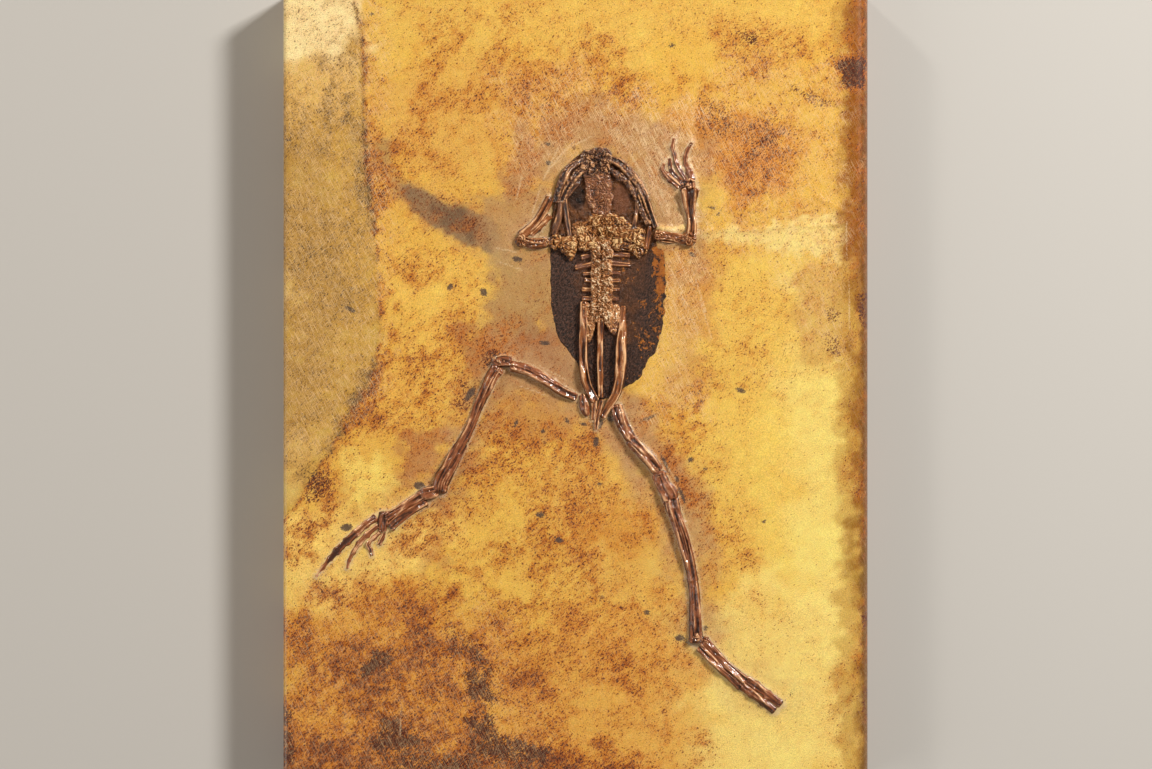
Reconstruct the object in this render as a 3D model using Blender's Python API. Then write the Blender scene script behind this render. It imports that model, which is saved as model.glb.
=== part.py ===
"""A fossil frog, Eopelobates wagneri, lying on the face of its resin slab.

The slab lies flat, +Z up, with the frog's head towards +Y. The origin is the middle of the slab's
underside. Limb bones lie in beds cut in the slab, and the skull, backbone and pelvis lie on the dark
film of skin that is let into it. Where each piece lies was read from a photograph taken from straight
above, so outlines are given in its pixels, and one real length, the frog's own, sets the scale.
"""
import bpy
import bmesh
import numpy as np

# Driving dimensions, in metres
BODY_LENGTH = 0.060
SLAB_LENGTH = 0.172
SLAB_THICKNESS = 0.012
GAP = 0.0003
FILM_THICKNESS = 0.0005
FILM_SINK = 0.0001
LIMB_CENTRE_RISE = 0.00015
LIMB_FLATNESS = 0.6
DIGIT_FLATNESS = 0.8
PLATE_SINK = 0.0005
PLATE_RISE = 0.0008
PLATE_EASE = 0.00025

# The slab's long edges: the right one is rounded over, the left one only eased
RIGHT_EDGE_RADIUS = 0.003
LEFT_EDGE_RADIUS = 0.001
UNDERSIDE_EDGE_RADIUS = 0.0006
END_EASE = 0.0004
ARC_STEPS = 4

# How the photograph's pixels turn into metres
SNOUT_V, ISCHIUM_V = 150, 428
SLAB_LEFT_U, SLAB_RIGHT_U = 283, 869
MIDDLE_U, MIDDLE_V = 576, 384.5
PX = BODY_LENGTH / (ISCHIUM_V - SNOUT_V)
SLAB_WIDTH = (SLAB_RIGHT_U - SLAB_LEFT_U) * PX

# Long bones: points (u, v, width) along the middle, in pixels
LIMB_BONES = {
    "humerus_left": ((525, 242, 7), (533, 243, 9), (540, 243, 9.5), (545, 243, 7)),
    "humerus_right": ((659, 236, 9), (668, 236.5, 9), (677, 237.5, 9), (684, 240, 9), (690, 241.5, 7)),
    "femur_left": (
        (574, 396, 6), (562, 391, 9), (551, 383.5, 9), (540, 376.5, 10),
        (529, 371, 10), (520, 368, 10.5), (513, 366.5, 9),
    ),
    "tibiofibula_left": (
        (496, 370, 10), (490, 380, 12), (485, 391, 11), (478, 408, 8.5), (470.5, 427, 8.5),
        (459, 449, 11), (448.5, 468, 14), (441.5, 482, 13), (440, 488, 10),
    ),
    "tibiale_left": ((418, 497, 7), (407, 504, 7), (397, 510.5, 7), (389, 515, 8)),
    "fibulare_left": ((423, 504.5, 6), (412, 511.5, 6.5), (401, 519, 7.5), (393, 526, 8.5)),
    "femur_right_upper": ((617, 410, 9), (619.5, 418, 12), (625, 429, 11), (629.5, 436.5, 9)),
    "femur_right_lower": ((631, 441, 9), (640, 449.5, 12), (650, 460, 12.5), (656, 469, 10)),
    "knee_right": ((659, 475.5, 11), (663.5, 484.5, 13), (668, 492.5, 14.5), (670, 497, 13)),
    "tibiofibula_right": (
        (671, 502, 12), (674.5, 512, 12), (681, 531, 11), (689, 560, 10), (694, 590, 8.5),
        (695.5, 611, 9.5), (696.5, 630, 11), (696.5, 638.5, 11),
    ),
    "tibiale_right": ((706, 642.5, 8), (716.5, 652.5, 7), (728.5, 664.5, 7), (744, 678.5, 8)),
    "fibulare_right": ((701, 650.5, 6), (711, 660, 6), (722, 671, 6.5), (738, 687.5, 8)),
}

# Finger, toe and foot bones, given in the same way
DIGIT_BONES = {
    "finger_right_1": ((677.5, 185.5, 5), (671, 180, 6), (666, 174.5, 5), (662.5, 169, 4), (663.5, 164, 3)),
    "finger_right_2": ((680, 179.5, 4), (675, 175, 4), (671, 170, 4), (670, 164, 3.5), (669.5, 159.5, 3)),
    "finger_right_3": (
        (684.5, 177.5, 4), (680.5, 171, 4.5), (676.5, 163.5, 4),
        (674.5, 155, 3.5), (672.5, 147, 3.5), (673.5, 140, 3),
    ),
    "finger_right_4": (
        (691.5, 178, 6), (689, 171.5, 5.5), (686, 164.5, 4.5),
        (685.5, 157, 4), (687.5, 150, 4), (691, 144, 3.5),
    ),
    "toe_left_1": (
        (374.5, 518.5, 7), (366, 524.5, 7), (356, 533, 8.5), (347, 542, 9),
        (337, 551.5, 8.5), (327, 562.5, 5.5), (317, 576, 4.5),
    ),
    "toe_left_2": (
        (376, 527.5, 5), (367, 535, 6), (359.5, 543.5, 6.5), (353.5, 553, 5),
        (348.5, 561, 4.5), (347.5, 568, 4),
    ),
    "toe_left_3": ((379, 534, 4), (374, 538, 4.5), (368.5, 544, 5), (370.5, 549.5, 4), (372, 555, 4)),
    "toe_left_4": ((385, 534, 4), (382, 539, 4), (379.5, 544, 4)),
    "metatarsal_right_1": ((751, 683, 7), (765, 692, 7), (779, 702.5, 7)),
    "metatarsal_right_2": ((746, 689.5, 6), (760, 699, 6.5), (773, 709.5, 6.5)),
    "ischium": ((601, 403, 4.5), (599.5, 409, 4.5), (597.8, 416, 4), (596.5, 423, 4), (596, 428, 3)),
}

# Flat limb pieces: corners (u, v) of the outline
LIMB_PLATES = {
    "radioulna_left": (
        (521, 234), (524, 229.5), (531, 226), (537, 218.5), (541, 210), (545.5, 201.5), (548.5, 197.5),
        (551, 200), (550.5, 208), (549.5, 217.5), (543.5, 223.5), (537, 230.5), (533, 235), (527, 235.5),
    ),
    "radioulna_right": (
        (680, 191.5), (690, 190.5), (698, 187.5), (699, 190), (697, 200), (694, 210), (694.8, 217),
        (697.5, 227), (696.5, 234.5), (691, 233), (685.5, 229), (687, 221), (685.5, 212), (682.5, 201),
    ),
    "carpals_right": ((679.5, 187), (684, 182), (690, 181.5), (694.5, 182), (694.5, 186.5), (686, 188.5)),
    "knee_left": ((498, 358.5), (503, 357), (508.5, 358), (509.5, 364), (506, 368), (500, 366)),
    "femur_head_left": ((582, 396), (587, 403), (587.5, 413), (578, 406.5)),
    "pubis_left": ((591.5, 403), (596, 403), (595, 410), (594.5, 418), (592, 418.5), (591, 410)),
    "ankle_left": ((421, 489.5), (428, 486.5), (433.5, 489.5), (437, 495), (431, 500), (424, 500)),
    "midfoot_left": ((377.5, 514), (383.5, 515.5), (386.5, 521), (386, 528.5), (382, 529.5), (378.5, 522)),
}

# Slender bones of the head, the girdles and the pelvis that lie on the film: (u, v, width)
TRUNK_BARS = {
    "mandible_left": ((579.5, 163.5, 5), (570.5, 168, 6), (564, 177, 6), (559, 188, 5), (556, 198, 4)),
    "maxilla_left": ((577.5, 173, 5), (570.5, 181, 5), (565, 190.5, 4.5), (561, 199, 3)),
    "pterygoid_left": ((580.5, 180, 4), (575, 187, 5), (569, 194, 4), (566.5, 197, 3)),
    "squamosal_left": ((560, 204.5, 4.5), (559.5, 212, 5), (557.5, 222, 5.5), (555, 231, 4)),
    "quadratojugal_left": ((566, 203.5, 4.5), (566.5, 212, 5), (567.5, 222, 4.5), (570, 233.5, 4)),
    "mandible_right": (
        (612, 161, 5), (622, 166.5, 6.5), (632, 177, 6.5), (640, 188, 6),
        (646.5, 200.5, 4.5), (650.5, 213, 4.5), (654, 224.5, 4),
    ),
    "maxilla_right": (
        (613, 172, 5), (620, 178, 5), (629, 184, 5), (635, 192, 5),
        (640.5, 203, 4), (644, 213, 4), (647.5, 221, 4),
    ),
    "squamosal_right": ((636, 203, 3.5), (635.5, 212, 4), (635, 220, 4), (633.5, 226, 3.5)),
    "scapula_right": ((649, 230, 3.5), (648, 238, 4.5), (646.5, 246, 4)),
    "urostyle": ((600.5, 324, 7), (600.5, 332, 6), (600, 350, 5.5), (600, 370, 5), (600.5, 394, 4)),
    "ilium_left": (
        (584, 308, 6), (583.5, 322, 7.5), (583.5, 340, 8), (583.7, 360, 8.5),
        (584.7, 375, 9), (588, 388, 8), (593, 398, 7),
    ),
    "ilium_right": (
        (623, 311, 5), (623, 325, 6.5), (621.7, 340, 9), (621, 360, 10),
        (620, 378, 9.5), (616.5, 393, 8.5), (611, 403.5, 7), (605.5, 412, 6),
    ),
}

# Flat pieces on the film: corners (u, v), and how high the piece stands
TRUNK_PLATES = {
    "snout": ((
        (584, 152.5), (592, 151), (602, 150), (607, 151.5), (609, 160), (608.5, 168), (606, 172.5),
        (597, 172.5), (591, 175.5), (585, 174.5), (583, 166),
    ), 0.0009),
    "frontoparietal": ((
        (587.5, 179), (596, 175.5), (608, 175), (611, 184), (611, 200), (609.5, 211), (603, 213.5),
        (594, 211), (589, 202), (587.5, 190),
    ), 0.0012),
    "occiput": ((
        (574.5, 224.5), (586, 221), (593, 215), (602, 217), (611, 215.5), (622, 220), (629, 225),
        (625, 235), (613, 237.5), (602, 239.5), (592, 240.5), (591.5, 248), (580, 247), (577, 236),
    ), 0.0014),
    "clavicle_left": ((
        (547.5, 243), (551, 238.5), (557.5, 236.5), (559.5, 241), (558.5, 247), (552, 246),
    ), 0.0009),
    "scapula_left": ((
        (563, 239), (571, 238.5), (574.5, 242), (574.5, 250), (570.5, 260), (565.5, 252), (561.5, 246.5),
    ), 0.0010),
    "coracoid_right": ((
        (628, 230), (640, 230), (643.5, 238), (643, 246), (645.5, 250.5), (637, 256),
        (632, 249.5), (616, 248.5), (615, 241.5), (627, 238),
    ), 0.0010),
}

# The film of skin and soft tissue, seen from above
BODY_FILM = (
    (596, 152.5), (614, 158.5), (630, 172), (643, 190), (650.5, 206), (655, 224), (655.5, 246),
    (662.5, 252), (664, 278), (662, 318), (657, 343), (647, 360), (636, 379), (625, 386),
    (613, 395), (603, 398.5), (594, 397), (584, 385), (577, 362), (559, 336), (552, 305),
    (551, 257), (550.5, 232), (554.5, 206), (555.5, 190), (562, 174), (571, 162.5), (584, 155),
)

# Vertebrae: the middle of each, and its left and right transverse processes as (tip u, tip v, width)
COLUMN_LEFT_U, COLUMN_RIGHT_U = 593.5, 610
VERTEBRA_LENGTH_PX = 7.2
VERTEBRAE = (
    (245.3, None, None),
    (254.4, (583, 257.5, 4.5), (628, 255, 6)),
    (263.4, (577, 267, 5), (628, 265, 5)),
    (272.3, (585, 273.5, 4), (618.5, 273, 4)),
    (281.1, (586.5, 280, 4), (618, 281, 4)),
    (289.8, (584, 290, 4), (617.5, 290, 3.5)),
    (298.4, (584, 299, 4), (616.5, 299.5, 4)),
    (306.8, None, None),
)
VERTEBRA_HEIGHT = 0.0012
PROCESS_FLATNESS = 0.6
SACRUM_BODY = ((594.5, 312), (609, 312), (608, 320.5), (596, 320.5))
SACRUM_WING_LEFT = ((589.5, 311.5), (597, 312.5), (596.5, 320), (595, 329), (591, 336), (589.5, 326))
SACRUM_WING_RIGHT = ((606, 312.5), (612.5, 310.5), (618.5, 310), (618, 324), (614, 332), (606.5, 322))
SACRUM_HEIGHT = 0.0012
SACRUM_WING_HEIGHT = 0.0008
WING_OVERLAP_DROP = 0.00005

# Colours, as sRGB
RESIN_AMBER = "#c99750"
FILM_BLACK = "#4e3b35"
LIMB_BROWN = "#8a4a25"
HEAD_BROWN = "#7b4a2c"
SPINE_GOLD = "#b9793c"

TOP = SLAB_THICKNESS
FILM_TOP = TOP - FILM_SINK
FILM_BED = FILM_TOP - FILM_THICKNESS - GAP
REST = FILM_TOP + GAP


def clear_scene():
    """Empty the scene, whatever it opened with."""
    for thing in list(bpy.data.objects):
        bpy.data.objects.remove(thing)


def collection(name):
    """A new collection in the scene."""
    made = bpy.data.collections.new(name)
    bpy.context.scene.collection.children.link(made)
    return made


def place(u, v):
    """A photograph pixel as x and y on the slab."""
    return (u - MIDDLE_U) * PX, (MIDDLE_V - v) * PX


def linear(hex_colour):
    """An sRGB hex colour as the linear RGBA that a shader takes."""
    parts = np.array([int(hex_colour[i:i + 2], 16) / 255 for i in (1, 3, 5)])
    parts = np.where(parts <= 0.04045, parts / 12.92, ((parts + 0.055) / 1.055) ** 2.4)
    return (*parts, 1.0)


def finish(thing, hex_colour, roughness):
    """Give the object its own material."""
    material = bpy.data.materials.new(thing.name)
    material.use_nodes = True
    shader = material.node_tree.nodes["Principled BSDF"]
    shader.inputs["Base Color"].default_value = linear(hex_colour)
    shader.inputs["Roughness"].default_value = roughness
    shader.inputs["Metallic"].default_value = 0.0
    thing.data.materials.append(material)


def grown(outline, distance):
    """Move a closed outline outwards: each corner goes out along its bisector."""
    points = np.array(outline, dtype=float)
    along = np.roll(points, -1, axis=0) - points
    turning = points[:, 0] * np.roll(points[:, 1], -1) - np.roll(points[:, 0], -1) * points[:, 1]
    out = np.column_stack((along[:, 1], -along[:, 0])) * np.sign(turning.sum())
    out /= np.linalg.norm(out, axis=1)[:, None]
    before = np.roll(out, 1, axis=0)
    share = 1 + (out * before).sum(axis=1)
    return points + distance * (out + before) / share[:, None]


def as_mesh(curve_object, group):
    """Replace a curve by the closed mesh that it draws."""
    bpy.context.view_layer.update()
    drawn = curve_object.evaluated_get(bpy.context.evaluated_depsgraph_get())
    mesh = bpy.data.meshes.new_from_object(drawn)
    mesh.transform(curve_object.matrix_world)
    work = bmesh.new()
    work.from_mesh(mesh)
    bmesh.ops.remove_doubles(work, verts=work.verts, dist=GAP / 100)
    bmesh.ops.recalc_face_normals(work, faces=work.faces)
    work.to_mesh(mesh)
    work.free()
    name, curve = curve_object.name, curve_object.data
    bpy.data.objects.remove(curve_object)
    bpy.data.curves.remove(curve)
    made = bpy.data.objects.new(name, mesh)
    mesh.name = name
    group.objects.link(made)
    return made


def draw(curve, points, radii=None, closed=False):
    """Add one straight-sided spline through the points to the curve."""
    spline = curve.splines.new("POLY")
    spline.points.add(len(points) - 1)
    for i, (x, y) in enumerate(points):
        spline.points[i].co = (x, y, 0, 1)
        spline.points[i].radius = 1 if radii is None else radii[i]
    spline.use_cyclic_u = closed


def plate(name, outline, low, high, ease, group):
    """A flat piece between two heights, its edges eased by the curve's own bevel."""
    curve = bpy.data.curves.new(name, "CURVE")
    curve.dimensions = "2D"
    curve.fill_mode = "BOTH"
    curve.extrude = (high - low) / 2 - ease
    curve.bevel_depth = ease
    curve.bevel_resolution = 0
    curve.offset = -ease
    draw(curve, outline, closed=True)
    thing = bpy.data.objects.new(name, curve)
    thing.location.z = (low + high) / 2
    group.objects.link(thing)
    return as_mesh(thing, group)


def rounded_ends(points, widths):
    """Add a station just inside each end, and narrow the end itself, so that the bone ends round."""
    step_in = 0.35
    end_share = 0.6
    first = points[0] + (points[1] - points[0]) / np.linalg.norm(points[1] - points[0]) * widths[0] * step_in
    last = points[-1] + (points[-2] - points[-1]) / np.linalg.norm(points[-2] - points[-1]) * widths[-1] * step_in
    points = np.vstack((points[:1], first, points[1:-1], last, points[-1:]))
    widths = np.concatenate((widths[:1] * end_share, widths[:1], widths[1:-1], widths[-1:], widths[-1:] * end_share))
    return points, widths


def bar(name, stations, flatness, middle, group, spare=0.0):
    """A long bone: a round tube through the stations, flattened to an oval lying at height middle.

    With spare above 0 it is the bed of that bone, larger by that much all round.
    """
    points = np.array([place(u, v) for u, v, _ in stations])
    widths = np.array([width * PX for _, _, width in stations])
    points, widths = rounded_ends(points, widths)
    if spare:
        for end, inner in ((0, 1), (-1, -2)):
            way = points[end] - points[inner]
            points[end] = points[end] + way / np.linalg.norm(way) * spare
        widest = widths.max() / 2
        flatness = (widest * flatness + spare) / (widest + spare)
    curve = bpy.data.curves.new(name, "CURVE")
    curve.dimensions = "3D"
    curve.bevel_depth = 1.0
    curve.bevel_resolution = 2
    curve.use_fill_caps = True
    draw(curve, points, radii=widths / 2 + spare)
    thing = bpy.data.objects.new(name, curve)
    thing.scale.z = flatness
    thing.location.z = middle
    group.objects.link(thing)
    return as_mesh(thing, group)


def boolean(thing, kind, other=None, group=None):
    """Add an exact Boolean modifier with one object, or with every object of a group."""
    modifier = thing.modifiers.new(kind.lower(), "BOOLEAN")
    modifier.operation = kind
    modifier.solver = "EXACT"
    if group:
        modifier.operand_type = "COLLECTION"
        modifier.collection = group
    else:
        modifier.object = other


def bed(name, outline):
    """The cutter of a bed for a flat piece, with the gap all round and below."""
    return plate(name, grown(outline, GAP), TOP - PLATE_SINK - GAP, TOP + GAP, 0.0, beds)


def hide(cutter):
    """Keep a cutter out of the model, drawn as wire."""
    cutter.hide_render = True
    cutter.display_type = "WIRE"


def make_limbs():
    """The limb bones, each with the cutter of its bed."""
    for bones, flatness in ((LIMB_BONES, LIMB_FLATNESS), (DIGIT_BONES, DIGIT_FLATNESS)):
        for name, stations in bones.items():
            middle = TOP + LIMB_CENTRE_RISE
            finish(bar(name, stations, flatness, middle, frog), LIMB_BROWN, 0.3)
            bar(name + "_bed", stations, flatness, middle, beds, spare=GAP)
    for name, corners in LIMB_PLATES.items():
        outline = [place(u, v) for u, v in corners]
        finish(plate(name, outline, TOP - PLATE_SINK, TOP + PLATE_RISE, PLATE_EASE, frog), LIMB_BROWN, 0.3)
        bed(name + "_bed", outline)


def make_film():
    """The film of skin, let into the slab."""
    outline = [place(u, v) for u, v in BODY_FILM]
    finish(plate("body_film", outline, FILM_TOP - FILM_THICKNESS, FILM_TOP, 0.0, frog), FILM_BLACK, 0.7)
    plate("body_film_bed", grown(outline, GAP), FILM_BED, TOP + GAP, 0.0, beds)


def make_head_and_girdles():
    """The slender bones and the flat pieces that rest on the film."""
    for name, stations in TRUNK_BARS.items():
        half_height = max(width for _, _, width in stations) * PX / 2 * LIMB_FLATNESS
        finish(bar(name, stations, LIMB_FLATNESS, REST + half_height, frog), HEAD_BROWN, 0.3)
    for name, (corners, height) in TRUNK_PLATES.items():
        outline = [place(u, v) for u, v in corners]
        finish(plate(name, outline, REST, REST + height, PLATE_EASE, frog), HEAD_BROWN, 0.4)


def make_backbone():
    """Eight vertebrae, each a block with a bar across it for its processes, and the sacrum."""
    for number, (v, left, right) in enumerate(VERTEBRAE, start=1):
        half = VERTEBRA_LENGTH_PX / 2
        corners = (
            (COLUMN_LEFT_U, v - half), (COLUMN_RIGHT_U, v - half),
            (COLUMN_RIGHT_U, v + half), (COLUMN_LEFT_U, v + half),
        )
        outline = [place(*corner) for corner in corners]
        block = plate(f"vertebra_{number}", outline, REST, REST + VERTEBRA_HEIGHT, PLATE_EASE, frog)
        if left:
            middle = (COLUMN_LEFT_U + COLUMN_RIGHT_U) / 2
            stations = (left, (middle, v, min(left[2], right[2])), right)
            rise = max(left[2], right[2]) * PX / 2 * PROCESS_FLATNESS + WING_OVERLAP_DROP
            processes = bar(f"processes_{number}", stations, PROCESS_FLATNESS, REST + rise, cutters)
            boolean(block, "UNION", processes)
        finish(block, SPINE_GOLD, 0.35)
    outline = [place(u, v) for u, v in SACRUM_BODY]
    sacrum = plate("sacrum", outline, REST, REST + SACRUM_HEIGHT, PLATE_EASE, frog)
    for name, corners in (("wing_left", SACRUM_WING_LEFT), ("wing_right", SACRUM_WING_RIGHT)):
        outline = [place(u, v) for u, v in corners]
        low = REST + WING_OVERLAP_DROP
        boolean(sacrum, "UNION", plate(name, outline, low, low + SACRUM_WING_HEIGHT, PLATE_EASE, cutters))
    finish(sacrum, SPINE_GOLD, 0.35)


def slab_profile():
    """The slab's cross-section, left to right and bottom to top, with an arc at each corner."""
    half = SLAB_WIDTH / 2
    quarter = np.linspace(0, np.pi / 2, ARC_STEPS + 1)
    points = []
    corners = (
        (half, 0, UNDERSIDE_EDGE_RADIUS, -1, 1, -np.pi / 2),
        (half, TOP, RIGHT_EDGE_RADIUS, -1, -1, 0),
        (-half, TOP, LEFT_EDGE_RADIUS, 1, -1, np.pi / 2),
        (-half, 0, UNDERSIDE_EDGE_RADIUS, 1, 1, np.pi),
    )
    for x, z, radius, inward_x, inward_z, start in corners:
        centre = (x + inward_x * radius, z + inward_z * radius)
        points += [(centre[0] + radius * np.cos(a), centre[1] + radius * np.sin(a)) for a in start + quarter]
    return points


def make_slab():
    """The resin plate: its cross-section drawn out along Y, then cut by every bed."""
    curve = bpy.data.curves.new("slab", "CURVE")
    curve.dimensions = "2D"
    curve.fill_mode = "BOTH"
    curve.extrude = SLAB_LENGTH / 2 - END_EASE
    curve.bevel_depth = END_EASE
    curve.bevel_resolution = 0
    curve.offset = -END_EASE
    draw(curve, slab_profile(), closed=True)
    thing = bpy.data.objects.new("slab", curve)
    thing.rotation_euler.x = np.pi / 2
    frog.objects.link(thing)
    slab = as_mesh(thing, frog)
    boolean(slab, "DIFFERENCE", group=beds)
    finish(slab, RESIN_AMBER, 0.35)


clear_scene()
frog = collection("fossil_frog")
cutters = collection("cutters")
beds = collection("beds")
make_limbs()
make_film()
make_head_and_girdles()
make_backbone()
make_slab()
for cutter in [*beds.objects, *cutters.objects]:
    hide(cutter)
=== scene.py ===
# %% [markdown]
# # A fossil frog on its resin slab
#
# The real object is the skeleton of a frog, *Eopelobates wagneri*. Its bones were lifted out of soft oil
# shale by pouring casting resin over them, and the shale was then cleaned off the other side. What is left
# is an amber slab with glossy brown bones standing in low relief on its face, and a black film where the
# skin was. This lesson dresses the plain CAD solids of that object.

# %% Load the frame
import bpy
import numpy as np
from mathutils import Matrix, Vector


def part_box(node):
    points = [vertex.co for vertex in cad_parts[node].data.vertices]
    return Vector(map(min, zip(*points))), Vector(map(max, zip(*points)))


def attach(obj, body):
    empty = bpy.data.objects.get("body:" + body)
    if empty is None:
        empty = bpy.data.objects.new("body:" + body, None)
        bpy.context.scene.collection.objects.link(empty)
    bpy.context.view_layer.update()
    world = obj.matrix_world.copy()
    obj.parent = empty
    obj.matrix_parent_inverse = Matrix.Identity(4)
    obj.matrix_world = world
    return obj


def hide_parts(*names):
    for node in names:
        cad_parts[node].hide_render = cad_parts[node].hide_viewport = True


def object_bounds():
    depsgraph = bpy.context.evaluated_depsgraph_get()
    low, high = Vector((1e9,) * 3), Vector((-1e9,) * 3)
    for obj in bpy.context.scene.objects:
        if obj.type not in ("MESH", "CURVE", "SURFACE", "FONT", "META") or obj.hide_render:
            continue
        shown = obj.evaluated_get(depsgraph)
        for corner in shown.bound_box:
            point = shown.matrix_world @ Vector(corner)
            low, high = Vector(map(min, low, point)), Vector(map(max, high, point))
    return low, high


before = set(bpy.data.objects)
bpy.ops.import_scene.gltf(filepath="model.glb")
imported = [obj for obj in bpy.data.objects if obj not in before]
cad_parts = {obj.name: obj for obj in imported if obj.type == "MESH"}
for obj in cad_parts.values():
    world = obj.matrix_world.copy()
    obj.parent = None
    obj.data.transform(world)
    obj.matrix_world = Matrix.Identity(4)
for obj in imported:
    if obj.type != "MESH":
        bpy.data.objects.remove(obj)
CAD_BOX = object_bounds()
print("nodes in the frame:", len(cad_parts))

# %% [markdown]
# ## One ruler for everything
#
# Places on the fossil are easiest to read from the photograph, which looks straight down on it. The slab is
# 586 photo pixels wide, and the frame says how wide it is in metres, so one ratio turns pixels into metres.
# Every length below that is a size of a pattern or a relief is in millimetres.

# %% The ruler
MM = 0.001
SLAB_LEFT_U, SLAB_RIGHT_U = 283, 869
MIDDLE_U, MIDDLE_V = 576, 384.5
SLAB_LOW, SLAB_HIGH = (np.array(corner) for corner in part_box("slab"))
PX = (SLAB_HIGH[0] - SLAB_LOW[0]) / (SLAB_RIGHT_U - SLAB_LEFT_U)
TOP = SLAB_HIGH[2]
RELIEF_LIMIT = CAD_BOX[1][2]


def spot(u, v):
    """Pixel u, v of the photograph as x and y on the slab."""
    return (np.asarray(u, float) - MIDDLE_U) * PX, (MIDDLE_V - np.asarray(v, float)) * PX


def pixel(x, y):
    """The inverse of spot."""
    return x / PX + MIDDLE_U, MIDDLE_V - y / PX


print(f"one pixel is {PX / MM:.4f} mm, and the slab is {TOP / MM:.1f} mm thick")

# %% [markdown]
# ## Noise as arrays
#
# Natural surfaces need noise in the mesh as well as in the material. Blender's own noise works on one point
# at a time, so a lattice noise is written here in numpy: it takes whole arrays and is quick.


# %% Noise
LATTICE = 256


def ripple(x, y, size, seed):
    """Random values on a square lattice of that size, blended between corners by a smooth step: -1 to 1."""
    lattice = np.random.default_rng(seed).uniform(-1, 1, (LATTICE, LATTICE))
    x, y = np.asarray(x) / size, np.asarray(y) / size
    ix, iy = np.floor(x).astype(int), np.floor(y).astype(int)
    fx, fy = x - ix, y - iy
    fx, fy = fx * fx * (3 - 2 * fx), fy * fy * (3 - 2 * fy)
    ix, iy, right, above = ix % LATTICE, iy % LATTICE, (ix + 1) % LATTICE, (iy + 1) % LATTICE
    a, b, c, d = lattice[ix, iy], lattice[right, iy], lattice[ix, above], lattice[right, above]
    return a + (b - a) * fx + (c - a + (a - b - c + d) * fx) * fy


def rough(x, y, size, seed, layers=4, fall=0.55):
    """Layers of ripple, each half the last one's size and weaker by fall, added up to about -1 to 1."""
    total, weight = 0.0, 0.0
    for i in range(layers):
        total = total + ripple(x, y, size / 2**i, seed + i) * fall**i
        weight += fall**i
    # layers partly cancel each other, so their mean is scaled up again
    return total / weight * 1.6


def step(value, low, high):
    """0 below low, 1 above high, and a smooth S between."""
    t = np.clip((value - low) / (high - low), 0, 1)
    return t * t * (3 - 2 * t)


print("noise spreads", np.std(rough(np.arange(500) * 0.3, 0.0, 4.0, 1)).round(2))

# %% [markdown]
# ## Distances to lines and outlines
#
# A mask for a stained patch, or for the halo round the bones, is a distance turned into a weight. Both
# functions take all points at once and loop only over the few corners of the shape.


# %% Distances
def line_distance(x, y, line):
    """How far each point is from a line of straight runs, less half the line's width there, in metres."""
    px, py = spot([p[0] for p in line], [p[1] for p in line])
    half = np.array([p[2] if len(p) > 2 else 0 for p in line]) * PX / 2
    best = np.full(np.shape(x), 1.0)
    for i in range(len(line) - 1):
        dx, dy = px[i + 1] - px[i], py[i + 1] - py[i]
        t = np.clip(((x - px[i]) * dx + (y - py[i]) * dy) / (dx * dx + dy * dy), 0, 1)
        away = np.hypot(x - px[i] - t * dx, y - py[i] - t * dy)
        best = np.minimum(best, away - half[i] - t * (half[i + 1] - half[i]))
    return best


def outline_distance(x, y, outline):
    """How far each point is outside a closed outline, in metres: negative inside it."""
    px, py = spot([p[0] for p in outline], [p[1] for p in outline])
    closed = [*outline, outline[0]]
    inside = np.zeros(np.shape(x), bool)
    for i in range(len(px)):
        ax, ay, bx, by = px[i - 1], py[i - 1], px[i], py[i]
        crosses = (ay > y) != (by > y)
        inside ^= crosses & (x < ax + (y - ay) * (bx - ax) / np.where(by == ay, 1, by - ay))
    away = line_distance(x, y, [(p[0], p[1]) for p in closed])
    return np.where(inside, -away, away)


# %% [markdown]
# ## Making a mesh from a grid
#
# Every new piece is a function of two parameters, worked out on a grid of rows and columns. One helper
# turns the grid into a mesh. The grid can close round its columns, and each open end can be filled with one
# many-sided face. Named arrays of values ride along as attributes, for the materials to read.


# %% Grid to mesh
def grid_faces(rows, columns, wrap):
    """The four corners of every cell, row by row: the last column joins the first if wrap is set."""
    index = np.arange(rows * columns).reshape(rows, columns)
    right = np.roll(index, -1, axis=1)
    a, b, c, d = index[:-1], right[:-1], right[1:], index[1:]
    faces = np.stack((a, b, c, d), axis=-1)
    return (faces if wrap else faces[:, :-1]).reshape(-1, 4)


def mesh_piece(name, points, faces, attributes=None, caps=(), flip=False):
    """A shaded-smooth object from points, four-cornered faces, many-sided caps and per-point values."""
    if flip:
        faces = faces[:, ::-1]
        caps = [cap[::-1] for cap in caps]
    loops = np.concatenate([faces.ravel(), *[np.asarray(cap) for cap in caps]])
    totals = np.array([4] * len(faces) + [len(cap) for cap in caps])
    mesh = bpy.data.meshes.new(name)
    mesh.vertices.add(len(points))
    mesh.vertices.foreach_set("co", np.asarray(points, np.float32).ravel())
    mesh.loops.add(len(loops))
    mesh.loops.foreach_set("vertex_index", loops.astype(np.int32))
    mesh.polygons.add(len(totals))
    starts = np.concatenate(([0], np.cumsum(totals)[:-1]))
    mesh.polygons.foreach_set("loop_start", starts.astype(np.int32))
    mesh.polygons.foreach_set("loop_total", totals.astype(np.int32))
    mesh.update(calc_edges=True)
    mesh.validate()
    mesh.shade_smooth()
    for key, values in (attributes or {}).items():
        values = np.asarray(values, np.float32)
        if values.ndim == 1:
            mesh.attributes.new(key, "FLOAT", "POINT").data.foreach_set("value", values)
        elif values.shape[1] == 4:
            mesh.attributes.new(key, "FLOAT_COLOR", "POINT").data.foreach_set("color", values.ravel())
        else:
            mesh.attributes.new(key, "FLOAT_VECTOR", "POINT").data.foreach_set("vector", values.ravel())
    piece = bpy.data.objects.new(name, mesh)
    bpy.context.scene.collection.objects.link(piece)
    return piece


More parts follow.
